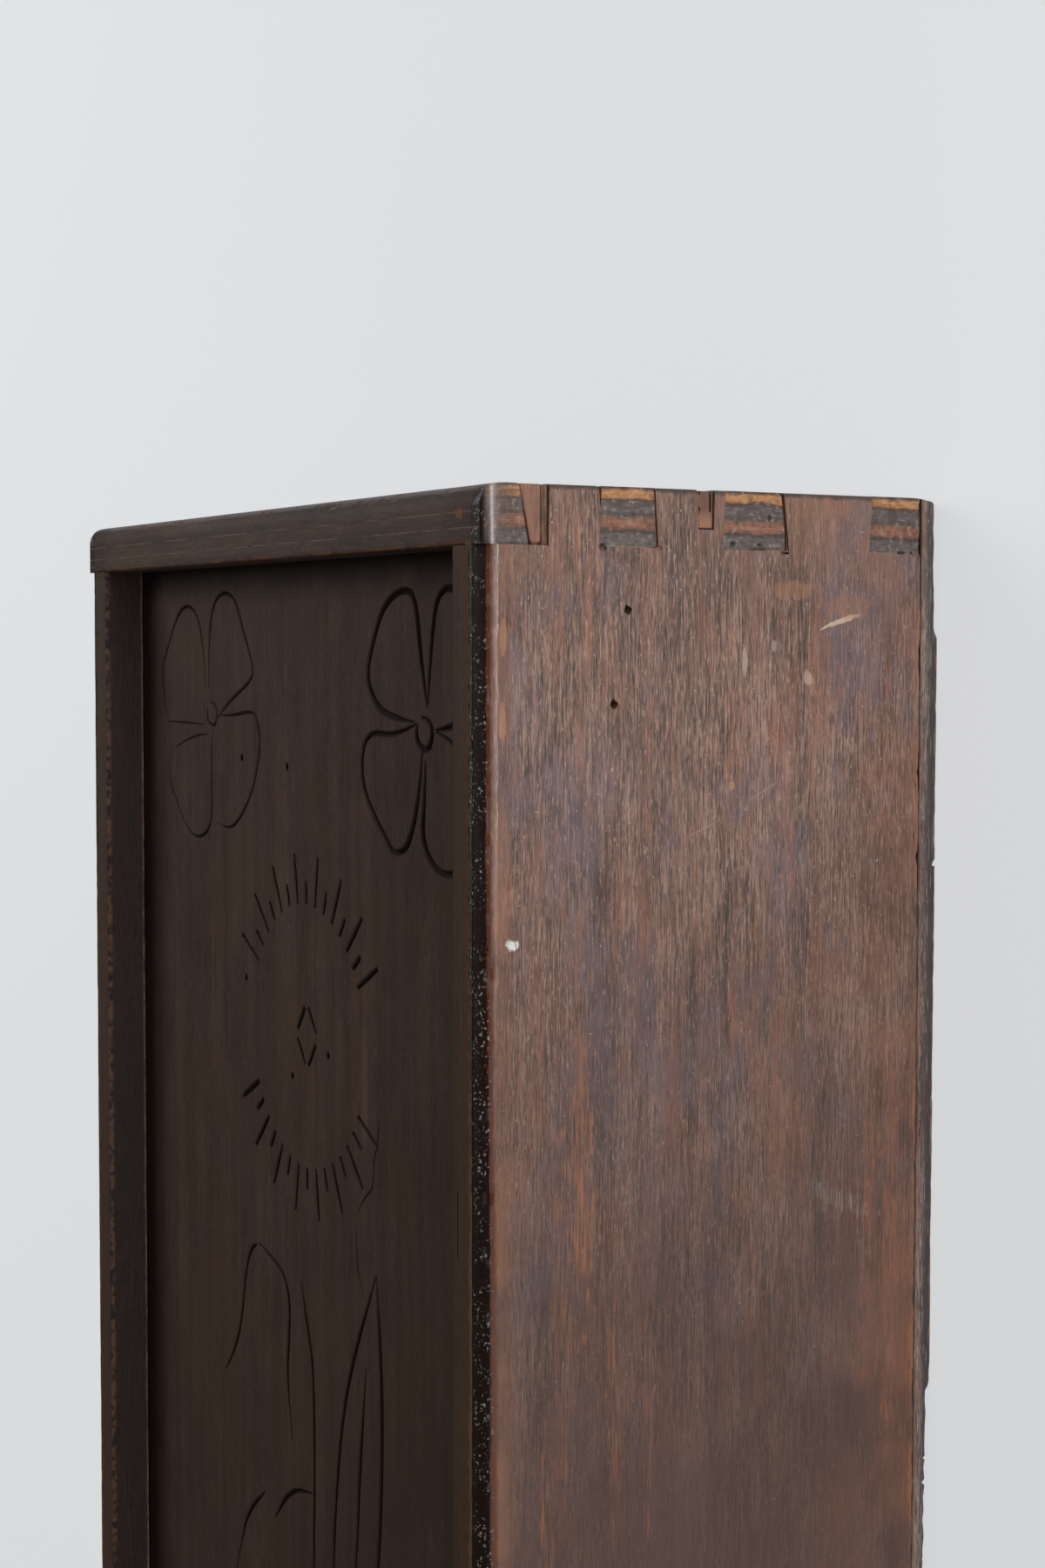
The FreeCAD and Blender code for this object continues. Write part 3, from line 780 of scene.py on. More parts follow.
sideWood = {
    "grainAxis": 0,
    "sway": 2.0,
    "hair": 0.68,
    "band": 0.2,
    "cloud": 0.26,
    "tones": [(0.1, "#37281f"), (0.4, "#634b41"), (0.6, "#785b4e"), (0.92, "#9e7f71")],
    "bloom": ("#655860", 0.55),
    "warm": ("#8b5c48", 0.42),
    "streak": ("#9c6040", 0.6),
    "pore": ("#2f2122", 0.75),
    "fleck": ("#bd9f90", 0.55),
    "dust": ("#d6cdc4", 0.5),
    "relief": 0.5,
    "roughness": 0.5,
    "polished": 0.1,
    "gloss": 0.5,
}
nearMarks = [
    # centre, half sizes, turn, ragged rim, colour, strength
    ((89.5, -111, 105.4), (1.3, 4, 1.6), 0, 1.3, "#dcd8d2", 0.95),
    lineMark((152.2, 30.8), (155.2, 20.6), 1.5, 1.1, "#c9ae95", 0.85),
    lineMark((151.6, 31.6), (153.2, 28.2), 0.6, 0.6, "#d2bca6", 0.7),
    ((141.7, -111, 34.4), (2.0, 3, 1.4), 25, 0.6, "#b79c8c", 0.75),
    ((145.0, -111, 50.5), (3.6, 3, 0.8), 0, 0.9, "#b3a297", 0.6),
    ((148.4, -111, 43.1), (1.5, 3, 0.8), 0, 0.9, "#b3a297", 0.5),
    ((119.6, -111, 53.6), (1.2, 3, 0.9), 0, 0.9, "#b98a62", 0.6),
    ((156.0, -111, 96.0), (4.0, 3, 13.0), 0, 1.2, "#463f48", 0.5),
    ((160.0, -111, 38.0), (2.2, 3, 9.0), 0, 1.6, "#a0714d", 0.4),
    ((156.5, -111, 24.0), (3.0, 3, 7.0), 0, 1.6, "#9a6846", 0.35),
    ((150.0, -111, 107.4), (4.5, 3, 1.0), 0, 0.8, "#ab7a58", 0.55),
    ((133.0, -111, 107.6), (5.0, 3, 0.9), 0, 0.8, "#b4825c", 0.5),
    lineMark((109.0, 65.5), (113.2, 55.0), 0.3, 0.3, "#a08374", 0.7),
    lineMark((115.9, 50.5), (120.7, 40.7), 0.3, 0.3, "#a08374", 0.75),
    lineMark((35.4, 36.0), (26.0, 14.6), 4.6, 1.9, "#948880", 0.8),
    lineMark((62.0, 11.6), (-34.0, 11.8), 5.0, 1.8, "#935739", 0.9),
    lineMark((58.0, 17.5), (-10.0, 18.2), 4.0, 1.8, "#8f553a", 0.8),
    lineMark((30.0, 7.4), (-44.0, 7.6), 2.4, 1.6, "#8f5236", 0.6),
    lineMark((84.0, 90.0), (4.0, 88.4), 8.0, 1.8, "#9a623f", 0.95),
    lineMark((60.0, 94.5), (-30.0, 93.4), 7.0, 1.8, "#935d3e", 0.55),
    lineMark((26.0, 82.4), (-40.0, 81.0), 3.6, 1.6, "#965a3a", 0.6),
    lineMark((16.0, 73.6), (-40.0, 73.0), 3.0, 1.6, "#965a3a", 0.5),
    lineMark((-2.0, 98.0), (-60.0, 96.5), 4.0, 1.6, "#9a6040", 0.6),
    lineMark((38.0, 58.8), (-40.0, 57.0), 6.5, 1.6, "#3f2a28", 0.55),
    ((112.0, -111, 70.0), (26.0, 3, 12.0), 0, 1.6, "#4a4044", 0.35),
    ((76.0, -111, 66.0), (14.0, 3, 11.0), 0, 1.6, "#443a3e", 0.4),
    ((30.0, -111, 32.0), (16.0, 3, 10.0), 0, 1.6, "#4a4043", 0.35),
    lineMark((24.0, 94.0), (-30.0, 96.0), 4.0, 1.4, "#4a3a38", 0.35),
]
farMarks = [
    ((60.0, 111, 60.0), (22, 3, 14.0), 0, 0.9, "#5b5054", 0.5),
    ((-90.0, 111, 84.0), (1.5, 3, 6.0), 20, 0.7, "#c9b09a", 0.7),
    ((20.0, 111, 20.0), (60, 3, 1.2), 2, 1.4, "#9c5834", 0.5),
]


def addCrack(root, tip, depth, outerY):
    # a knife-thin wedge of air that runs in from the outer face
    side = 1 if outerY > 0 else -1
    yEnds = sorted((outerY + side * joint["overrun"], outerY - side * depth))
    return addFlanked("crack", root, tip, *yEnds)


def buildSideBoard(node, side, worms, marks):
    low, high = placesOf(node)
    outerY = low.y if side < 0 else high.y
    innerY = high.y if side < 0 else low.y
    board = addBlank(node + "_worn", low, high)
    sliceBoard(board, 0, *sideBoard["longSlices"])
    roundOver(board, sideBoard["rounding"], 8, onPlanes((1, outerY), (2, rim)))
    roundOver(board, sideBoard["innerRounding"], 2, onPlanes((1, innerY), (2, rim)))
    sliceBoard(board, 2, sideBoard["tallSlices"])

    def onEndArris(start, end):
        return onPlanes((0, high.x), (1, outerY))(start, end) and max(start.z, end.z) < grooveFloor + 5
    roundOver(board, sideBoard["arris"], 2, onEndArris)
    quirkLine = abs(outerY) - sideBoard["quirkPlace"]
    quirkWidth = sideBoard["quirkWidth"]
    scribe(board, 1, [side * quirkLine, side * (quirkLine - quirkWidth)])
    for vertex in board.data.vertices:
        out = abs(vertex.co.y) * 1000
        above = vertex.co.z * 1000 - rim + sideBoard["quirkReach"]
        if out > quirkLine - quirkWidth / 2 and above > 0:
            vertex.co.z -= mm(sideBoard["quirkDepth"] * min(1.0, above / sideBoard["quirkFade"]))
    wearDown(board, sideBoard["wear"], 3 + side)

    over = joint["overrun"]
    yLow, yHigh = low.y - over, high.y + over
    sockets = []
    for root, tip in ((endLow.x, endHigh.x), (mouthHigh.x, mouthLow.x)):
        sockets += pinCutters(root, tip, yLow, yHigh)
    sockets.append(addFlanked("corner", (endLow.x, grooveFloor, rim + over),
                              (endHigh.x + over, grooveFloor, rim + over), yLow, yHigh))
    backOfGroove = innerY + side * sideBoard["grooveDepth"]
    grooveEnds = sorted((backOfGroove, innerY - side * over))
    groove = addFlanked("groove", (low.x - over, grooveFloor, sideBoard["grooveTop"]),
                        (endLow.x + 0.5, grooveFloor, sideBoard["grooveTop"]), *grooveEnds)
    marksCut = []
    for index, (x, z) in enumerate(worms):
        # the beetle's way out, a little out of round
        hole = addHole((x, outerY, z), sideBoard["wormRadius"], sideBoard["wormDepth"], 1)
        for vertex in hole.data.vertices:
            around = math.atan2(vertex.co.z - mm(z), vertex.co.x - mm(x))
            vertex.co.x += mm(0.14 * math.sin(3 * around + index))
            vertex.co.z += mm(0.1 * math.cos(2 * around + index))
        marksCut.append(hole)
    if side < 0:
        marksCut += addChips(sideBoard["chips"], 11)
        (start, end), slitY, width, depth = sideBoard["slit"]
        marksCut.append(addBlank("slit", (end, slitY - width / 2, rim - depth),
                                 (start, slitY + width / 2, rim + over)))
        marksCut += [addCrack(*crack, outerY) for crack in sideBoard["cracks"]]
        marksCut.append(addFlanked("kerf", tailWedge["kerfRoot"], tailWedge["kerfTip"], yLow, yHigh))
    cutAway(board, [joined("sockets", sockets), groove, joined("marks", marksCut)])
    material = stainedWood(node + "StainedBeech", sideWood, sideExtras(outerY, marks))
    grimy = dict(sideWood, gloss=sideBoard["grimeGloss"])
    dull = stainedWood(node + "GrimyBeech", grimy, sideExtras(outerY, []))
    inward = Vector((0, -side, 0))
    finishPiece(board, "carcass", material, [node], dull=dull, inward=inward)


# End boards

endBoard = {
    "wideSlices": (59, 2),
    "tallSlices": 59,
    "thickSlices": 9,
    "rounding": 4.4,
    "arris": 0.6,
    "wear": 0.42,
    "innerRounding": 0.5,
    "innerRimHalf": 104,      # the inner edge is rounded up to here from the middle
    "lowRounding": 0.8,       # of the lower board at the mouth
    "lidGrooveDepth": 4.0,
    "pinSink": [0.35, 0.22, 0.3],     # end grain below the face of the sides, from the back pin up
    "pinTilt": 0.35,
    "pinRoughness": 0.16,
    "grimeGloss": 0.12,
    "endGrain": [
        # share of the thickness from the inner face, and the colour of the layer there
        (0.0, "#40342f"), (0.05, "#675f5c"), (0.2, "#60544e"), (0.26, "#43342d"), (0.31, "#875b46"),
        (0.4, "#96634b"), (0.48, "#7c5844"), (0.53, "#4c423e"), (0.6, "#635853"), (0.74, "#5b4e48"),
        (0.785, "#4a3428"), (0.815, "#b27646"), (0.92, "#bf8a5a"), (0.96, "#755038"), (1.0, "#3a2a20"),
    ],
    "pits": [
        # X, Z and half sizes of the black pits at the near pins
        (168.2, 7.2, 0.5, 0.7), (168.2, 9.9, 0.45, 1.3), (169.2, 53.4, 0.7, 0.9),
        (169.2, 46.8, 0.5, 0.8), (168.3, 84.6, 0.6, 0.8), (174.8, 44.2, 0.8, 0.7),
    ],
}
endWood = {
    "grainAxis": 1,
    "sway": 2.0,
    "hair": 0.3,
    "band": 0.35,
    "cloud": 0.25,
    "tones": [(0.1, "#2b1f19"), (0.42, "#3d2f28"), (0.62, "#493a30"), (0.9, "#614c3d")],
    "bloom": ("#453c38", 0.4),
    "warm": ("#523628", 0.45),
    "streak": ("#6f452c", 0.5),
    "pore": ("#261b17", 0.3),
    "fleck": ("#8d7c6f", 0.2),
    "dust": ("#b9aea2", 0.4),
    "relief": 0.4,
    "roughness": 0.52,
    "polished": 0.2,
    "gloss": 0.45,
}


endTints = [
    ("atSide", "layers", 0.92),
    ("atSide nearRim", "#44362f", 0.6),
    ("atSide nearRim broken", "#6d5140", 0.6),
    ("atSide fibre", "#2f2624", 0.5),
    ("atSide paleFibre", "#a39790", 0.35),
    ("atSide darkCrumb", "#241b19", 0.45),
    ("atSide paleCrumb", "#b3a79e", 0.3),
    ("onFront broken", "#4a372b", 0.5),
    ("atRim corner", "#3a2218", 0.6),
    ("inner below", "#a58466", 0.75),
    ("lip onFront broken", "#8a5634", 0.5),
    ("nearTop atRim darkCrumb", "#8b7c69", 0.6),
    ("atRim grime", "#1c1310", 0.9),
    ("atRim grime dust", "#c4beb4", 0.7),
    ("firstSeam onFront broken", "#a08a76", 0.55),
    ("secondSeam onFront broken", "#a08a76", 0.55),
]


def endExtras(lowX, highX, outward):
    # what time has left on an end board, beside its grain
    innerX, outerX = (lowX, highX) if outward > 0 else (highX, lowX)
    spots = []
    if outward > 0:
        spots = [((x, -endHigh.y, z), (halfX, 2, halfZ), 0, 0.9, "#0d0908", 0.95)
                 for x, z, halfX, halfZ in endBoard["pits"]]
        spots.append(((174.3, -101.3, rim), (1.3, 2.0, 2), 0, 1.8, "#8a5530", 0.5))

    def extras(tree, place, along):
        x, y, z = along
        depth = addNode(tree, "MapRange", {0: x, 1: innerX, 2: outerX})
        ripple = addNode(tree, "TexNoise",
                         {"Vector": place, "Scale": 0.2, "Detail": 4.0, "Roughness": 0.7})
        layered = addNode(tree, "Math", {0: ripple, 1: 0.2, 2: depth}, operation="MULTIPLY_ADD")
        layered = addNode(tree, "Math", {0: layered, 1: 0.1}, operation="SUBTRACT")
        out = addNode(tree, "Math", {0: y}, operation="ABSOLUTE")
        turn = roundRim(tree, out, z, endHigh.y, endBoard["rounding"])[1]
        crumb = addNode(tree, "TexNoise", {"Vector": place, "Scale": 0.9, "Detail": 4.0})
        broad = addNode(tree, "TexNoise", {"Vector": place, "Scale": 0.1, "Detail": 3.0})
        masks = namedMasks(tree, {
            "broken": (broad, 0.42, 0.56),
            "darkCrumb": (crumb, 0.5, 0.66),
            "paleCrumb": (crumb, 0.42, 0.32),
            "inner": (depth, 0.03, 0.0),
            "below": (z, lidFace + 0.4, lidFace - 0.4),

            # end grain at the pins, in layers, with fibres that run along the layers
            "atSide": (out, endHigh.y - 3.4, endHigh.y - 2.2),
            "nearRim": (z, rim - 9.0, rim - 3.0),

            # the rim and its front: thin rubbed lines at the seams of the layers, dust above
            "onFront": (z, rim - 0.5, rim - 0.1),
            "lip": (depth, -0.1, 0.04, 0.05),
            "firstSeam": (depth, 0.276, 0.286, 0.012),
            "secondSeam": (depth, 0.536, 0.546, 0.012),
            "nearTop": (depth, 0.9, 1.0),
            "atRim": (z, rim - 5.0, rim - 2.0),
            "grime": (turn, 0.8, 1.66, 0.06),
            "rubbed": (turn, -0.1, 0.66, 0.12),
            "corner": (out, endHigh.y - 14.0, endHigh.y - 2.0, 3.0),
        })
        masks["layers"] = toneRamp(tree, layered, endBoard["endGrain"])
        masks["fibre"] = grainPattern(tree, place, 2, 0.34, 3.2, 0.46, 0.7, 3.0, 83.0)
        masks["paleFibre"] = grainPattern(tree, place, 2, 0.3, 2.4, 0.56, 0.72, 3.0, 97.0)
        masks["dust"] = dustPattern(tree, place, 0.62, 0.6, 0.66)
        masks["polish"] = whereAll(tree, [masks["rubbed"], masks["atRim"]])
        return masks, endTints + addSpots(tree, place, masks, spots)
    return extras


def buildEndBoard(node, outward, rounded, opening, hasGroove):
    low, high = placesOf(node)
    board = addBlank(node + "_worn", low, high)
    sliceBoard(board, 1, *endBoard["wideSlices"])
    outerX = high.x if outward > 0 else low.x
    innerX = low.x if outward > 0 else high.x
    if rounded:
        def onRim(start, end):
            level = abs(start.z - high.z) < 0.01 and abs(end.z - high.z) < 0.01
            outer = all(abs(point.x - outerX) < 0.01 for point in (start, end))
            atSide = all(abs(abs(point.y) - high.y) < 0.01 for point in (start, end))
            return level and (outer or atSide)
        def onInnerRim(start, end):
            # short of the rounded sides
            reach = max(abs(start.y), abs(end.y))
            return onPlanes((0, innerX), (2, high.z))(start, end) and reach < endBoard["innerRimHalf"]
        roundOver(board, endBoard["rounding"], 8, onRim)
        roundOver(board, endBoard["innerRounding"], 2, onInnerRim)
    else:
        for faceX in (outerX, innerX):
            roundOver(board, endBoard["lowRounding"], 2, onPlanes((0, faceX), (2, high.z)))
    sliceBoard(board, 2, endBoard["tallSlices"])
    sliceBoard(board, 0, endBoard["thickSlices"])
    for sideY in (low.y, high.y):
        def onArris(start, end):
            belowRim = max(start.z, end.z) < high.z - endBoard["rounding"] - 0.5
            return belowRim and onPlanes((0, outerX), (1, sideY))(start, end)
        roundOver(board, endBoard["arris"], 2, onArris)
    wearDown(board, endBoard["wear"], 9 + outward)

    over = joint["overrun"]
    sideThickness = nearHigh.y - nearLow.y
    for side in (-1, 1):
        yEnds = sorted((side * (high.y - sideThickness - joint["gap"] / 2), side * (high.y + over)))
        cutAway(board, [joined("tails", tailCutters(innerX, outerX, *yEnds, opening))])
    if hasGroove:
        wide = high.y - sideThickness
        groove = addBlank("groove", (innerX - over, -wide, grooveFloor),
                          (innerX + endBoard["lidGrooveDepth"], wide, sideBoard["grooveTop"]))
        cutAway(board, [groove] + [addCrack(*crack, low.y) for crack in sideBoard["cracks"][:2]])
    pinPlaces = [(foot - 1, backPinHigh), (secondPinLow, secondPinHigh), (firstPinLow, firstPinHigh)]
    for vertex in board.data.vertices:
        place = vertex.co * 1000
        for (pinLow, pinHigh), sink in zip(pinPlaces, endBoard["pinSink"]):
            if abs(abs(place.y) - high.y) < 0.5 and pinLow < place.z < pinHigh:
                tilt = endBoard["pinTilt"] * noise.noise(place / 6)
                grit = noise.noise(Vector((place.x / 0.9, place.y, place.z / 2.6)))
                rough = endBoard["pinRoughness"] * (1 + grit)
                vertex.co.y -= math.copysign(mm(sink * (1 + tilt) + rough), place.y)
    extras = endExtras(low.x, high.x, outward)
    material = stainedWood(node + "StainedBeech", endWood, extras)
    dull = stainedWood(node + "GrimyBeech", dict(endWood, gloss=endBoard["grimeGloss"]), extras)
    inward = Vector((-outward, 0, 0))
    finishPiece(board, "carcass", material, [node], dull=dull, inward=inward)


# Lid

lidSizes = {
    "tongue": 3.7,
    "sliceLong": 33,
    "sliceWide": 19,
    "hollow": 0.22,           # how far the scraped face dips
    "sideGap": 0.5,           # between the raised field and the side boards
    "endGap": 0.3,            # and between it and the closed end
    "notchRadius": 12.0,
    "gougeLength": 24,        # of the round gouge that cuts the notch
    "notchTilt": 14.0,
    "notchPlace": 26.0,
    "lineWidth": 2.0,
    "farShift": 10,           # the far end's flowers lie this much nearer the mouth
    "worms": [(120.9, 32.4), (119.8, 5.4), (66.8, 30.4), (54.1, -16.9), (46.4, 3.1)],
    "wormRadius": 0.95,
    "splits": [
        [(43.5, -43.8), (38.5, -42.9), (34.0, -40.6), (29.6, -40.6), (27.0, -39.6), (24.2, -35.0),
         (20.5, -32.6)],
        [(16.9, -31.6), (10.0, -32.0), (6.8, -32.4), (1.7, -35.7)],
    ],
    "splitWidth": 0.9,
}
flowers = [
    # width of the gouge line, then X and Y along each petal, seam and eye
    (2.0, [
        [(135.3, -66.8), (145.1, -63.8), (158.2, -61.7), (160.9, -57.0), (158.0, -46.5), (149.8, -41.0),
         (141.5, -37.1), (134.8, -42.6), (132.6, -50.7), (131.9, -61.2)],
        [(136.0, -67.1), (151.1, -68.8), (160.1, -71.9), (160.5, -80.0), (155.0, -88.0), (146.0, -91.5),
         (138.0, -90.0), (133.0, -84.0), (131.0, -76.0), (130.6, -70.8)],
        [(131.7, -61.7), (128.5, -51.7), (129.6, -38.7), (124.3, -34.7), (115.5, -35.8), (105.5, -47.9),
         (102.8, -51.0), (104.8, -58.0), (116.0, -63.2), (126.0, -64.6)],
        [(124.0, -66.0), (115.6, -65.7), (107.6, -64.2), (101.4, -69.3), (99.9, -77.0), (104.0, -86.0),
         (113.0, -91.0), (122.0, -89.0), (128.0, -80.0), (130.3, -71.0)],
        [(133.2, -64.2), (132.8, -67.8), (129.6, -69.6), (125.7, -66.8), (127.2, -62.8), (129.8, -61.4),
         (131.9, -62.3)],
    ]),
    (1.35, [
        [(137.7, 53.2), (153.1, 53.6), (161.9, 47.6), (161.0, 36.6), (152.4, 31.6), (143.0, 24.9),
         (139.6, 26.8), (134.3, 41.4), (130.1, 48.0)],
        [(130.9, 46.7), (130.9, 38.9), (132.6, 26.2), (130.3, 22.6), (124.4, 20.8), (113.8, 25.2),
         (105.9, 33.5), (102.0, 42.0), (104.0, 48.5)],
        [(119.7, 79.8), (113.8, 81.4), (108.2, 75.7), (102.2, 70.2), (98.5, 61.9), (102.2, 52.4),
         (109.5, 51.6), (119.2, 52.1), (127.5, 50.7)],
        [(137.7, 55.0), (150.0, 57.0), (158.0, 62.0), (159.0, 72.1), (148.5, 80.8), (142.6, 85.2),
         (135.1, 83.9), (129.9, 81.1)],
        [(128.5, 81.1), (128.6, 69.0), (128.4, 56.0)],
        [(122.0, 75.5), (126.1, 62.9), (125.9, 53.4)],
        [(134.2, 52.4), (134.0, 49.6), (131.4, 47.6), (128.2, 49.4), (128.4, 53.0), (130.6, 54.4),
         (132.8, 53.9)],
    ]),
]
sunRing = {
    "centre": (57.0, -5.0),
    "inner": 31.0,
    "outer": 43.0,
    "short": 36.5,
    "spread": 62,
    "nicks": 15,
    "lineWidth": 2.5,
    "taper": 0.6,
    "lozenge": (8, 6),        # half its length and width
    "lozengeInset": 0.14,     # how far its lines stop short of its corners, as a share
}
leafStrokes = [
    # X and Y of each gouge line below the ring
    [(8.3, -41.7), (-2.0, -36.0), (-14.0, -29.5), (-27.3, -24.3), (-44.0, -21.0), (-62.0, -18.9),
     (-84.0, -18.5)],
    [(8.3, -41.7), (-6.0, -43.6), (-24.0, -44.6), (-44.0, -44.0), (-62.0, -42.0), (-84.0, -37.0)],
    [(-14.0, -36.5), (-30.0, -34.0), (-46.0, -32.4), (-60.0, -31.2), (-78.0, -28.0)],
    [(-1.5, -1.5), (-8.8, -3.4), (-16.0, -6.5), (-23.7, -8.2), (-46.0, -8.6), (-69.1, -7.8),
     (-90.0, -8.5)],
    [(1.5, 24.0), (0.9, 27.5), (-5.3, 31.3), (-19.4, 34.2), (-28.0, 38.5), (-34.5, 44.4)],
    [(1.8, 23.0), (0.6, 17.9), (-1.2, 12.0), (-2.7, 8.6), (-7.7, 5.1), (-18.0, 5.8), (-27.7, 7.3),
     (-41.4, 3.9)],
    [(-63.5, 14.0), (-58.6, 10.2), (-54.5, 4.5), (-52.6, -1.0), (-51.3, -8.0)],
    [(-59.0, 20.0), (-63.5, 26.5), (-68.0, 31.0), (-72.6, 33.7), (-84.1, 38.3)],
    [(-84.0, -18.5), (-96.0, -22.0), (-106.0, -29.0), (-112.0, -37.0)],
    [(-84.0, -37.0), (-98.0, -35.5), (-112.0, -37.0)],
    [(-90.0, -8.5), (-104.0, -5.0), (-118.0, 4.0), (-124.0, 14.0)],
    [(-84.1, 38.3), (-97.0, 40.0), (-108.0, 35.0), (-118.0, 24.0), (-124.0, 14.0)],
]
lidWood = {
    "grainAxis": 0,
    "sway": 4.0,
    "hair": 0.2,
    "band": 0.16,
    "cloud": 0.14,
    "tones": [(0.1, "#31241e"), (0.4, "#43342d"), (0.62, "#503f36"), (0.92, "#6a5649")],
    "bloom": ("#4a3f3a", 0.3),
    "warm": ("#513a2d", 0.3),
    "streak": ("#68432f", 0.35),
    "pore": ("#251b17", 0.22),
    "fleck": ("#7d6d62", 0.3),
    "dust": ("#9a8d80", 0.3),
    "relief": 0.45,
    "roughness": 0.58,
    "gloss": 0.05,
}


def lidDip(x, y):
    # how far the scraped face lies below its level at a place
    return lidSizes["hollow"] * (0.5 + 0.5 * noise.noise(Vector((x / 60, y / 60, 1.7))))


def gougeLine(points, width, taper=0.4):
    # a V gouge's cut, as a four-sided tube along the points, thin where the tool goes in and out
    curve = bpy.data.curves.new("gougeLine", "CURVE")
    curve.dimensions = "3D"
    curve.twist_mode = "Z_UP"
    curve.bevel_depth = mm(width / 2)
    curve.bevel_resolution = 0
    curve.use_fill_caps = True
    spline = curve.splines.new("NURBS")
    spline.points.add(len(points) - 1)
    for index, (point, (x, y)) in enumerate(zip(spline.points, points)):
        point.co = (mm(x), mm(y), mm(lidFace - lidDip(x, y)), 1)
        atEnd = index in (0, len(points) - 1)
        point.radius = taper if atEnd else 1.0 + 0.25 * noise.noise((x / 7, y / 7, 0))
    spline.order_u = 3
    spline.resolution_u = 3
    spline.use_endpoint_u = True
    line = bpy.data.objects.new("gougeLine", curve)
    bpy.context.scene.collection.objects.link(line)
    selectOnly(line)
    bpy.ops.object.convert(target="MESH")
    line = bpy.context.object
    mergeDoubles(line, 0.01)
    return line


def flowerLines():
    # the two flowers of the photo, and the same two turned over for the lid's other end
    lines = []
    for width, strokes in flowers:
        for points in strokes:
            lines.append(gougeLine(points, width))
            lines.append(gougeLine([(-x - lidSizes["farShift"], y) for x, y in points], width))
    return lines


def nick(start, end):
    # one short line of the ring or the lozenge
    halfway = ((start[0] + end[0]) / 2, (start[1] + end[1]) / 2)
    return gougeLine([start, halfway, end], sunRing["lineWidth"], sunRing["taper"])


def ringLines():
    # two arcs of nicks
    lines = []
    x, y = sunRing["centre"]
    for middle in (0, 180):
        for index in range(sunRing["nicks"]):
            share = index / (sunRing["nicks"] - 1) * 2 - 1
            around = math.radians(middle + share * sunRing["spread"])
            reach = sunRing["outer"] if index % 2 == 0 else sunRing["short"]
            lines.append(nick(*[(x + radius * math.cos(around), y + radius * math.sin(around))
                                for radius in (sunRing["inner"], reach)]))
    return lines


def lozengeLines():
    # the small lozenge between the arcs
    x, y = sunRing["centre"]
    long, wide = sunRing["lozenge"]
    corners = [(x + long, y), (x, y + wide), (x - long, y), (x, y - wide)]
    inset = sunRing["lozengeInset"]
    lines = []
    for first, last in zip(corners, corners[1:] + corners[:1]):
        lines.append(nick(*[tuple(a * (1 - inset) + b * inset for a, b in zip(start, end))
                            for start, end in ((first, last), (last, first))]))
    return lines


lidTints = [
    ("handled", "#4d3a2f", 0.4),
    # painted shade: darker towards the mouth end, as the light falls off
    ("mouth", "#35281f", 0.3),
    ("paleSpot", "#6a5648", 0.35),
    # painted shadow along the side walls
    ("beside", "#1d1512", 0.72),
    # painted shadow under the beam
    ("shadowUnderBeam", "#120c0a", 0.8),
    # grime in the gouges, together with painted shade in them
    ("inCut above", "#1a110d", 0.8),
    ("under", "#8a6c52", 0.6),
]


def lidExtras(tree, place, along):
    x, y, z = along
    sunk = addNode(tree, "TexNoise", {"Vector": place, "Scale": 0.02, "Detail": 2.0})
    crumb = addNode(tree, "TexNoise", {"Vector": place, "Scale": 0.1, "Detail": 3.0})
    out = addNode(tree, "Math", {0: y}, operation="ABSOLUTE")
    out = addNode(tree, "Math", {0: crumb, 1: 8.0, 2: out}, operation="MULTIPLY_ADD")
    deep = addNode(tree, "Math", {0: crumb, 1: 6.0, 2: x}, operation="MULTIPLY_ADD")
    masks = namedMasks(tree, {
        # the gouges' dark fill: partly grime, partly painted shade
        "inCut": (z, lidFace - 0.28, lidFace - 0.5),
        "above": (z, lidFace - 3.3, lidFace - 3.0),
        "under": (z, lidFace - 6.0, lidFace - 7.5),
        "handled": (sunk, 0.45, 0.62),
        # painted shade towards the mouth end
        "mouth": (x, 60.0, -60.0),
    })
    # painted shadow along the walls and under the beam
    for name, value, start, end in (("beside", out, 80.0, 100.0), ("shadowUnderBeam", deep, 161.0, 171.0)):
        masks[name] = addNode(tree, "MapRange", {0: value, 1: start, 2: end},
                              interpolation_type="SMOOTHSTEP")
    masks["paleSpot"] = spotPattern(tree, place, (50.0, -36.0, lidFace), (17.5, 2.2, 3), 0, 0.6)
    return masks, lidTints


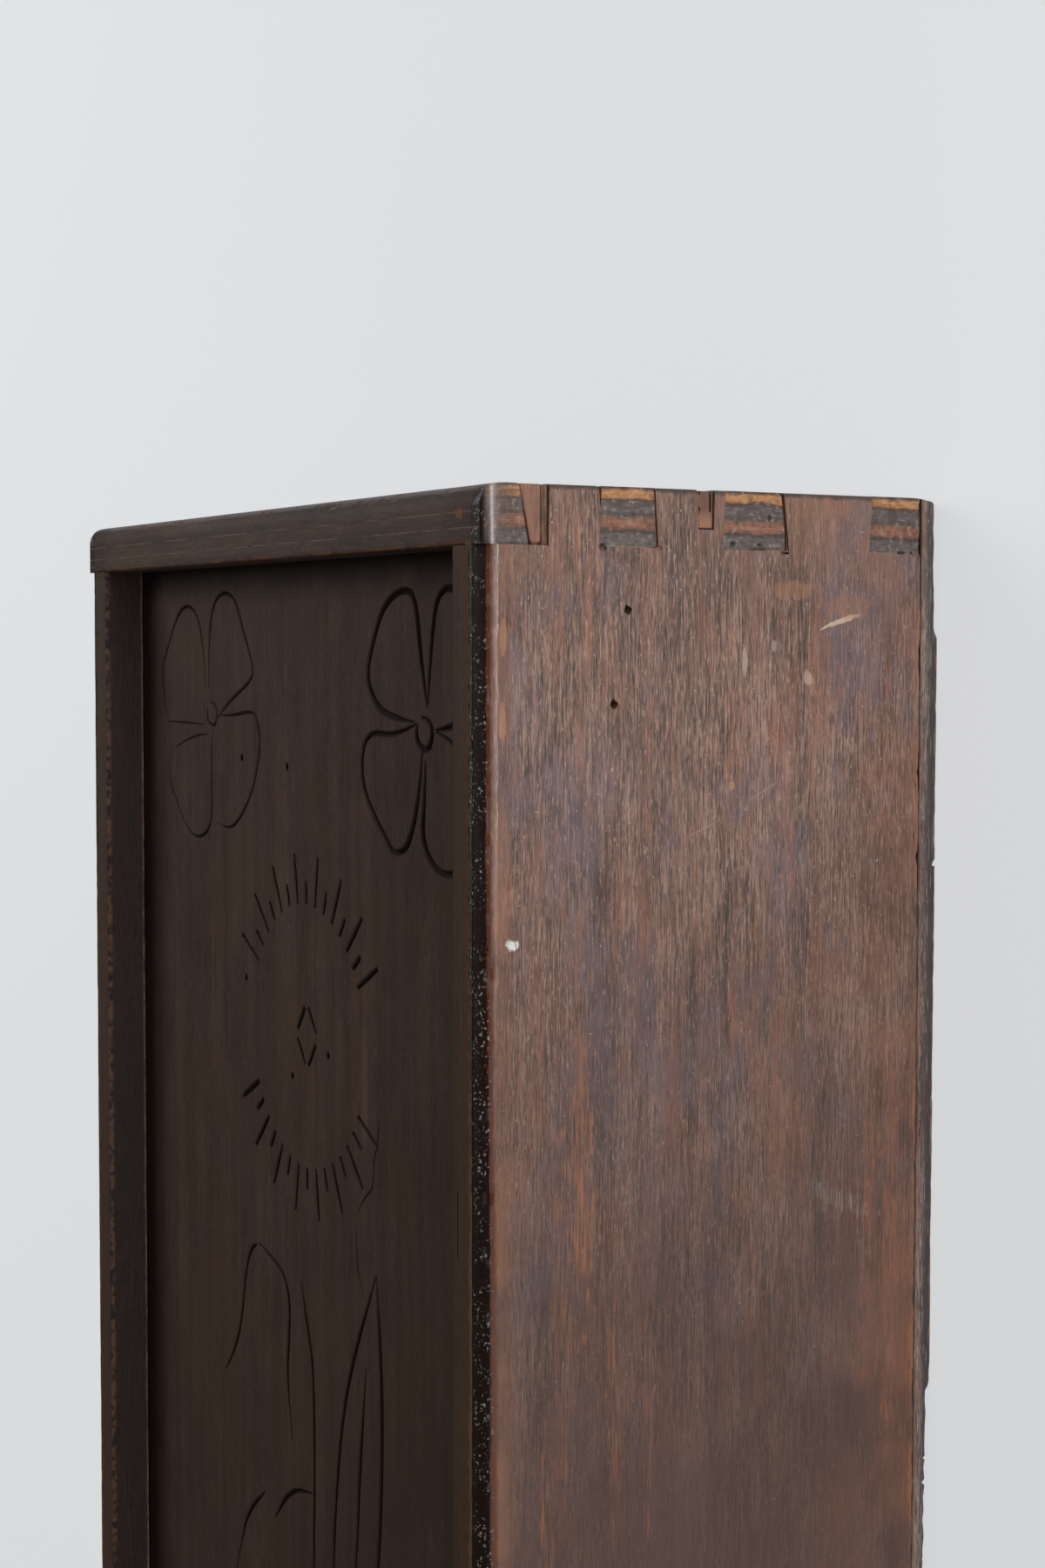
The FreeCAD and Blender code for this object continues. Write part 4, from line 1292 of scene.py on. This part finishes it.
def buildLid():
    low, high = placesOf("lid_panel")
    lid = addBlank("lid_carved", low, high)
    sliceBoard(lid, 0, lidSizes["sliceLong"])
    sliceBoard(lid, 1, lidSizes["sliceWide"])
    for vertex in lid.data.vertices:
        if vertex.co.z > mm(lidFace - 0.1):
            vertex.co.z -= mm(lidDip(vertex.co.x * 1000, vertex.co.y * 1000))
    over = joint["overrun"]
    fieldHalf = farLow.y - lidSizes["sideGap"]
    fieldEnd = endLow.x - lidSizes["endGap"]
    tongueLow = lidFace - lidSizes["tongue"]
    rebates = []
    for side in (-1, 1):
        yEnds = sorted((side * fieldHalf, side * (high.y + over)))
        rebates.append(addFlanked("rebate", (low.x - over, low.z - over, tongueLow),
                                  (high.x + over, low.z - over, tongueLow), *yEnds))
        rebates.append(addFlanked("corner", (fieldEnd, low.z - over, high.z + over),
                                  (high.x + over, low.z - over, high.z + over), *yEnds))
    rebates.append(addFlanked("endRebate", (fieldEnd, low.z - over, tongueLow),
                              (high.x + over, low.z - over, tongueLow), -fieldHalf - 1, fieldHalf + 1))
    cutAway(lid, rebates)

    notch = addShape("cylinder", vertices=72, radius=mm(lidSizes["notchRadius"]),
                     depth=mm(lidSizes["gougeLength"]))
    turn = Matrix.Rotation(-math.radians(lidSizes["notchTilt"]), 4, "Y")
    centre = Vector((mm(low.x + lidSizes["notchPlace"]), 0, mm(lidFace)))
    lift = Matrix.Translation((0, 0, mm(lidSizes["gougeLength"] / 2)))
    notch.data.transform(Matrix.Translation(centre) @ turn @ lift)
    cutAway(lid, [notch])

    lines = [joined("ring", ringLines()), joined("lozenge", lozengeLines())]
    lines += flowerLines()
    lines += [gougeLine(points, lidSizes["lineWidth"]) for points in leafStrokes]
    lines += [gougeLine(points, lidSizes["splitWidth"]) for points in lidSizes["splits"]]
    lines.append(joined("worms", [addHole((x, y, lidFace), lidSizes["wormRadius"], 3.0, 2)
                                  for x, y in lidSizes["worms"]]))
    cutAway(lid, lines)
    material = stainedWood("darkStainedBeech", lidWood, lidExtras)
    finishPiece(lid, "lid", material, ["lid_panel"])


# Bottom board

bottomBoard = {
    "longSlices": (99, 2),
    "wideSlices": 73,
    "edge": 0.7,
    "wear": 0.4,
    "scribes": (0.5, 1.3, 2.4),     # edges for the rounded corner, from the closed end
    "cornerRadius": 4.2,
    "lossHeight": 4.2,        # how high and how far in the near lower edge is worn
    "lossDepth": 5,
    "nearLoss": [
        # X, and how far the near lower edge has worn up
        (-180, 0.9), (-120, 1.1), (-80, 1.8), (-53, 1.6), (-38, 1.4), (-13.6, 1.2), (-13.1, 0.1),
        (65, 0.0), (150.4, 0.0), (151.6, 1.0), (172, 1.2),
    ],
    "bites": [
        ((101.4, -111, -0.2), (0.9, 3.0, 1.5)),
        ((-29.3, -111, 0.8), (0.6, 3.0, 1.2)),
        ((-34.7, -111, 0.6), (0.8, 3.0, 2.3)),
        ((-51.8, -111, 0.6), (0.9, 3.0, 1.7)),
        ((-96.0, -111, 0.2), (3.0, 2.5, 1.9)),
        ((44.0, 111, -0.2), (2.2, 2.5, 1.6)),
        ((-121.0, 111, 0.0), (4.0, 2.5, 1.5)),
    ],
}
bottomWood = {
    "grainAxis": 0,
    "sway": 3.0,
    "hair": 0.55,
    "band": 0.2,
    "cloud": 0.35,
    "tones": [(0.1, "#372f2d"), (0.4, "#564a45"), (0.6, "#6a5c56"), (0.92, "#9a8b81")],
    "bloom": ("#5f5a5c", 0.5),
    "warm": ("#775444", 0.35),
    "streak": ("#8a5c3e", 0.55),
    "pore": ("#241d1b", 0.6),
    "fleck": ("#b9ada2", 0.55),
    "dust": ("#cfc6bd", 0.6),
    "relief": 0.7,
    "roughness": 0.58,
    "gloss": 0.4,
}
nailSizes = {
    "shankRadius": 0.9,
    "headRadius": 2.2,
    "headHeight": 0.8,
    "length": 24.0,
    "sink": 0.4,
    "recessGap": 0.12,        # room round a head in its recess
    "rings": (0.6, 0.7),      # widths of the rings of edges that shape a head
}
nailRows = {
    "near_side_nails": 6,
    "far_side_nails": 6,
    "closed_end_nails": 3,
    "mouth_end_nails": 3,
}


def nailPlaces(node):
    # the middles of a row's nails, spread evenly over the row's box
    low, high = placesOf(node)
    radius = nailSizes["headRadius"]
    start = Vector((low.x + radius, low.y + radius, 0))
    end = Vector((high.x - radius, high.y - radius, 0))
    count = nailRows[node]
    return [start.lerp(end, index / (count - 1)) for index in range(count)]


bottomTints = [
    ("dingy atSide", "#362c2e", 0.85),
    ("scratch atSide", "#b3a79e", 0.5),
    ("jointRub atSide", "#96603c", 0.5),
    ("atJoint atSide", "#1c1512", 0.85),
    ("worn atSide", "#96623f", 0.7),
    ("inside field", "#a08062", 0.7),
]


def bottomExtras(tree, place, along):
    y, z = along[1:]
    top, half = bottomHigh.z, bottomHigh.y
    out = addNode(tree, "Math", {0: y}, operation="ABSOLUTE")
    crumb = addNode(tree, "TexNoise", {"Vector": place, "Scale": 0.35, "Detail": 3.0})
    lowEdge = addNode(tree, "Math", {0: crumb, 1: 1.4, 2: z}, operation="MULTIPLY_ADD")
    masks = namedMasks(tree, {
        "inside": (z, top - 0.3, top - 0.1),
        "field": (out, half - 3, half - 4),
        "atSide": (out, half - 1.6, half - 0.6),
        "worn": (lowEdge, 1.45, 1.15),
        "dingy": (lowEdge, 4.2, 2.4),
        "atJoint": (z, top - 0.5, top - 0.25),
        "jointRub": (lowEdge, top - 0.3, top + 0.1, 0.15),
    })
    masks["scratch"] = grainPattern(tree, place, 0, 0.24, 8.0, 0.64, 0.7, 1.0, 19.0)
    return masks, bottomTints


def lossAt(x):
    steps = bottomBoard["nearLoss"]
    for (start, first), (end, last) in zip(steps, steps[1:]):
        if start <= x <= end:
            return first + (last - first) * (x - start) / (end - start)
    return steps[-1][1] if x > steps[-1][0] else steps[0][1]


def buildBottom():
    low, high = bottomLow, bottomHigh
    board = addBlank("bottom_board_worn", low, high)
    sliceBoard(board, 0, *bottomBoard["longSlices"])
    sliceBoard(board, 1, bottomBoard["wideSlices"])
    scribe(board, 0, [high.x - inward for inward in bottomBoard["scribes"]])

    def lowerRim(start, end):
        level = abs(start.z - low.z) < 0.01 and abs(end.z - low.z) < 0.01
        sideEdge = all(abs(abs(point.y) - high.y) < 0.01 for point in (start, end))
        endEdge = all(abs(abs(point.x) - high.x) < 0.01 for point in (start, end))
        return level and (sideEdge or endEdge)
    roundOver(board, bottomBoard["edge"], 3, lowerRim)
    radius = bottomBoard["cornerRadius"]
    for vertex in board.data.vertices:
        place = vertex.co * 1000
        closeness = max(0.0, 1 - (place.y - low.y) / bottomBoard["lossDepth"])
        share = max(0.0, 1 - (place.z - low.z) / bottomBoard["lossHeight"])
        loss = lossAt(place.x) * closeness * share * (1 + 0.3 * noise.noise(place / 3))
        place.z += loss
        x, z = place.x - (high.x - radius), place.z - (low.z + radius)
        reach = math.hypot(x, z)
        if x > 0 and z < 0 and reach > radius:
            place.x = high.x - radius + x / reach * radius
            place.z = low.z + radius + z / reach * radius
        vertex.co = place / 1000
    wearDown(board, bottomBoard["wear"], 17)
    bites = addChips(bottomBoard["bites"], 31)
    recessRadius = nailSizes["headRadius"] + nailSizes["recessGap"]
    recesses = [addHole((place.x, place.y, low.z), recessRadius,
                        nailSizes["sink"] + nailSizes["headHeight"], 2, 20)
                for node in nailRows for place in nailPlaces(node)]
    cutAway(board, [joined("bites", bites), joined("recesses", recesses)])
    material = stainedWood("greyedBeech", bottomWood, bottomExtras)
    finishPiece(board, "carcass", material, ["bottom_board"])


# Wedges and strips

smallMiddle = (smallWedgeLow.z + smallWedgeHigh.z) / 2
tailWedge = {
    "kerfRoot": (smallWedgeLow.x - 0.25, smallMiddle - 1.9, smallMiddle + 1.9),
    "kerfTip": (smallWedgeHigh.x + 2.0, smallMiddle - 2.15, smallMiddle + 2.15),
    "root": (smallWedgeLow.x, smallMiddle - 1.65, smallMiddle + 1.7),
    "tip": (smallWedgeHigh.x - 0.25, smallMiddle - 1.85, smallMiddle + 1.95),
    "slot": ((175.5, -113, 58.85), (181, -104, 59.3)),
    "chips": [((175.8, -110.8, 61.9), (0.9, 0.9, 0.6)), ((179.6, -110.8, 61.9), (0.9, 0.7, 0.6))],
}
jointFit = {
    "gap": 0.1,
    "stripShort": 0.2,        # how far an outer end lies back from the end board's face
    "wedgeShort": 0.1,
    "stripSink": 0.28,        # how far both ends lie back from the side board's faces
    "wedgeSink": 0.1,
    "smallSink": 0.3,
    "tipRounding": 0.8,       # the corner wedge's inner tip
    "arris": 0.16,
    "wear": 0.3,
}
wedgeWood = {
    "grainAxis": 0,
    "sway": 1.0,
    "hair": 0.35,
    "band": 0.2,
    "cloud": 0.3,
    "tones": [(0.1, "#664335"), (0.42, "#7f5745"), (0.62, "#8d624c"), (0.9, "#a47760")],
    "bloom": ("#775b50", 0.35),
    "warm": ("#a06b4c", 0.35),
    "streak": ("#a8683f", 0.3),
    "pore": ("#4a3027", 0.35),
    "fleck": ("#c29c83", 0.25),
    "dust": ("#cdbdae", 0.3),
    "relief": 0.4,
    "roughness": 0.5,
    "gloss": 0.45,
}
stripTones = [(0.1, "#2f2018"), (0.42, "#5c3e2c"), (0.62, "#714c35"), (0.9, "#8f6446")]
stripWood = dict(wedgeWood, hair=0.6, tones=stripTones, bloom=("#4f4338", 0.35), warm=("#6f4c34", 0.35),
                 streak=("#7a5033", 0.3), pore=("#4a3027", 0.6))


def smallWedgeExtras(tree, place, along):
    # the outer half is stained like the board, the inner half is bruised and bare
    crumb = addNode(tree, "TexNoise", {"Vector": place, "Scale": 0.8, "Detail": 3.0})
    line = addNode(tree, "Math", {0: crumb, 1: 4.0, 2: along[0]}, operation="MULTIPLY_ADD")
    masks = namedMasks(tree, {"stained": (line, 177.2, 178.6), "bare": (line, 176.8, 175.6)})
    return masks, [("stained", "#53392b", 0.6), ("bare", "#a8724a", 0.45)]


def buildJointPiece(node, root, tip, material, sink, cutters=()):
    # a sliver driven into the joint, its ends cut off by hand a little below the side
    low, high = placesOf(node)
    piece = addFlanked(node + "_worn", root, tip, low.y + sink, high.y - sink)
    if "corner_wedge" in node:
        roundOver(piece, jointFit["tipRounding"], 3, onPlanes((0, root[0])))
    selectOnly(piece)
    bpy.ops.object.mode_set(mode="EDIT")
    bpy.ops.mesh.select_all(action="DESELECT")
    bpy.ops.mesh.select_mode(type="EDGE")
    bpy.ops.mesh.edges_select_sharp(sharpness=math.radians(40))
    bpy.ops.mesh.bevel(offset=mm(jointFit["arris"]), segments=1, affect="EDGES")
    bpy.ops.mesh.select_all(action="SELECT")
    bpy.ops.mesh.subdivide(number_cuts=5)
    closeEdit()
    wearDown(piece, jointFit["wear"], len(node))
    cutAway(piece, cutters)
    finishPiece(piece, "carcass", material, [node])


def buildJointPieces():
    bareBeech = stainedWood("rubbedBeech", wedgeWood)
    darkBeech = stainedWood("oldBeech", stripWood)
    gap = jointFit["gap"]
    for side in ("near", "far"):
        root = (stripLow.x, stripLow.z + gap, stripHigh.z - gap)
        tip = (stripHigh.x - jointFit["stripShort"], stripLow.z + gap, stripHigh.z - gap)
        buildJointPiece(f"{side}_corner_strip", root, tip, darkBeech, jointFit["stripSink"])
        root = (wedgeLow.x, wedgeLow.z + gap, lidFace - gap)
        tip = (wedgeHigh.x - jointFit["wedgeShort"], wedgeLow.z + gap, wedgeHigh.z - gap)
        buildJointPiece(f"{side}_corner_wedge", root, tip, bareBeech, jointFit["wedgeSink"])
    cutters = [addBlank("slot", *tailWedge["slot"])] + addChips(tailWedge["chips"], 51)
    bruisedBeech = stainedWood("bruisedBeech", wedgeWood, smallWedgeExtras)
    buildJointPiece("tail_wedge", tailWedge["root"], tailWedge["tip"], bruisedBeech,
                    jointFit["smallSink"], cutters)


# Nails

def forgedIron():
    # wrought iron that has rusted to a dull brown black, darker where the hammer struck
    material, tree = newTree("rustedWroughtIron")
    place = boxPlace(tree)[0]
    pits = addNode(tree, "TexNoise", {"Vector": place, "Scale": 1.2, "Detail": 4.0})
    rust = addNode(tree, "MapRange", {0: pits, 1: 0.42, 2: 0.62})
    colour = layTints(tree, linearColour("#2a2421"), {"rust": rust}, [("rust", "#5a3a28", 0.7)])
    bump = addNode(tree, "Bump", {"Strength": 0.7, "Distance": mm(0.25), "Height": pits})
    rough = addNode(tree, "MapRange", {0: rust, 3: 0.5, 4: 0.85})
    shader = addNode(tree, "BsdfPrincipled",
                     {"Base Color": colour, "Roughness": rough, "Metallic": 0.6, "Normal": bump})
    addNode(tree, "OutputMaterial", {"Surface": shader})
    return material


def buildNails(node, iron):
    dice = random.Random(nailRows[node] + len(node))
    nails = []
    for place in nailPlaces(node):
        nail = addShape("cylinder", vertices=12, radius=mm(nailSizes["headRadius"]),
                        depth=mm(nailSizes["headHeight"]))
        bpy.ops.object.mode_set(mode="EDIT")
        bpy.ops.mesh.select_mode(type="FACE")
        bpy.ops.mesh.select_all(action="DESELECT")
        mesh = bmesh.from_edit_mesh(nail.data)
        for face in mesh.faces:
            if face.normal.z > 0.9:
                face.select_set(True)
        bpy.ops.mesh.inset(thickness=mm(nailSizes["headRadius"] - nailSizes["shankRadius"]))
        bpy.ops.mesh.extrude_region_move(
            TRANSFORM_OT_translate={"value": (0, 0, mm(nailSizes["length"] - nailSizes["headHeight"]))})
        bpy.ops.mesh.merge(type="CENTER")
        bpy.ops.mesh.select_all(action="DESELECT")
        for face in mesh.faces:
            if face.normal.z < -0.9:
                face.select_set(True)
        for ring in nailSizes["rings"]:
            bpy.ops.mesh.inset(thickness=mm(ring))
        closeEdit()
        spin = dice.uniform(0, math.pi)
        lift = mm(nailSizes["headHeight"] / 2 + nailSizes["sink"])
        for vertex in nail.data.vertices:
            out = math.hypot(vertex.co.x, vertex.co.y) * 1000
            if vertex.co.z < 0 and out > 1.7:
                vertex.co.z += mm(0.2 + dice.uniform(0.0, 0.12))
            if out > 2.0:
                squeeze = dice.uniform(0.88, 1.0)
                vertex.co.x *= squeeze
                vertex.co.y *= squeeze
        turn = Matrix.Rotation(spin, 4, "Z")
        nail.data.transform(Matrix.Translation((mm(place.x), mm(place.y), lift)) @ turn)
        nails.append(nail)
    row = joined(node + "_rusted", nails)
    finishPiece(row, "carcass", iron, [node], smoothTo=30)


setUpStudio()
buildSideBoard("near_side_board", -1, sideBoard["nearWorms"], nearMarks)
buildSideBoard("far_side_board", 1, sideBoard["farWorms"], farMarks)
buildEndBoard("closed_end_board", 1, True, (lidFace, wedgeHigh.z), True)
buildEndBoard("mouth_end_board", -1, False, (mouthHigh.z + 4, mouthHigh.z + 4), False)
buildLid()
buildBottom()
buildJointPieces()
rustedIron = forgedIron()
for row in nailRows:
    buildNails(row, rustedIron)
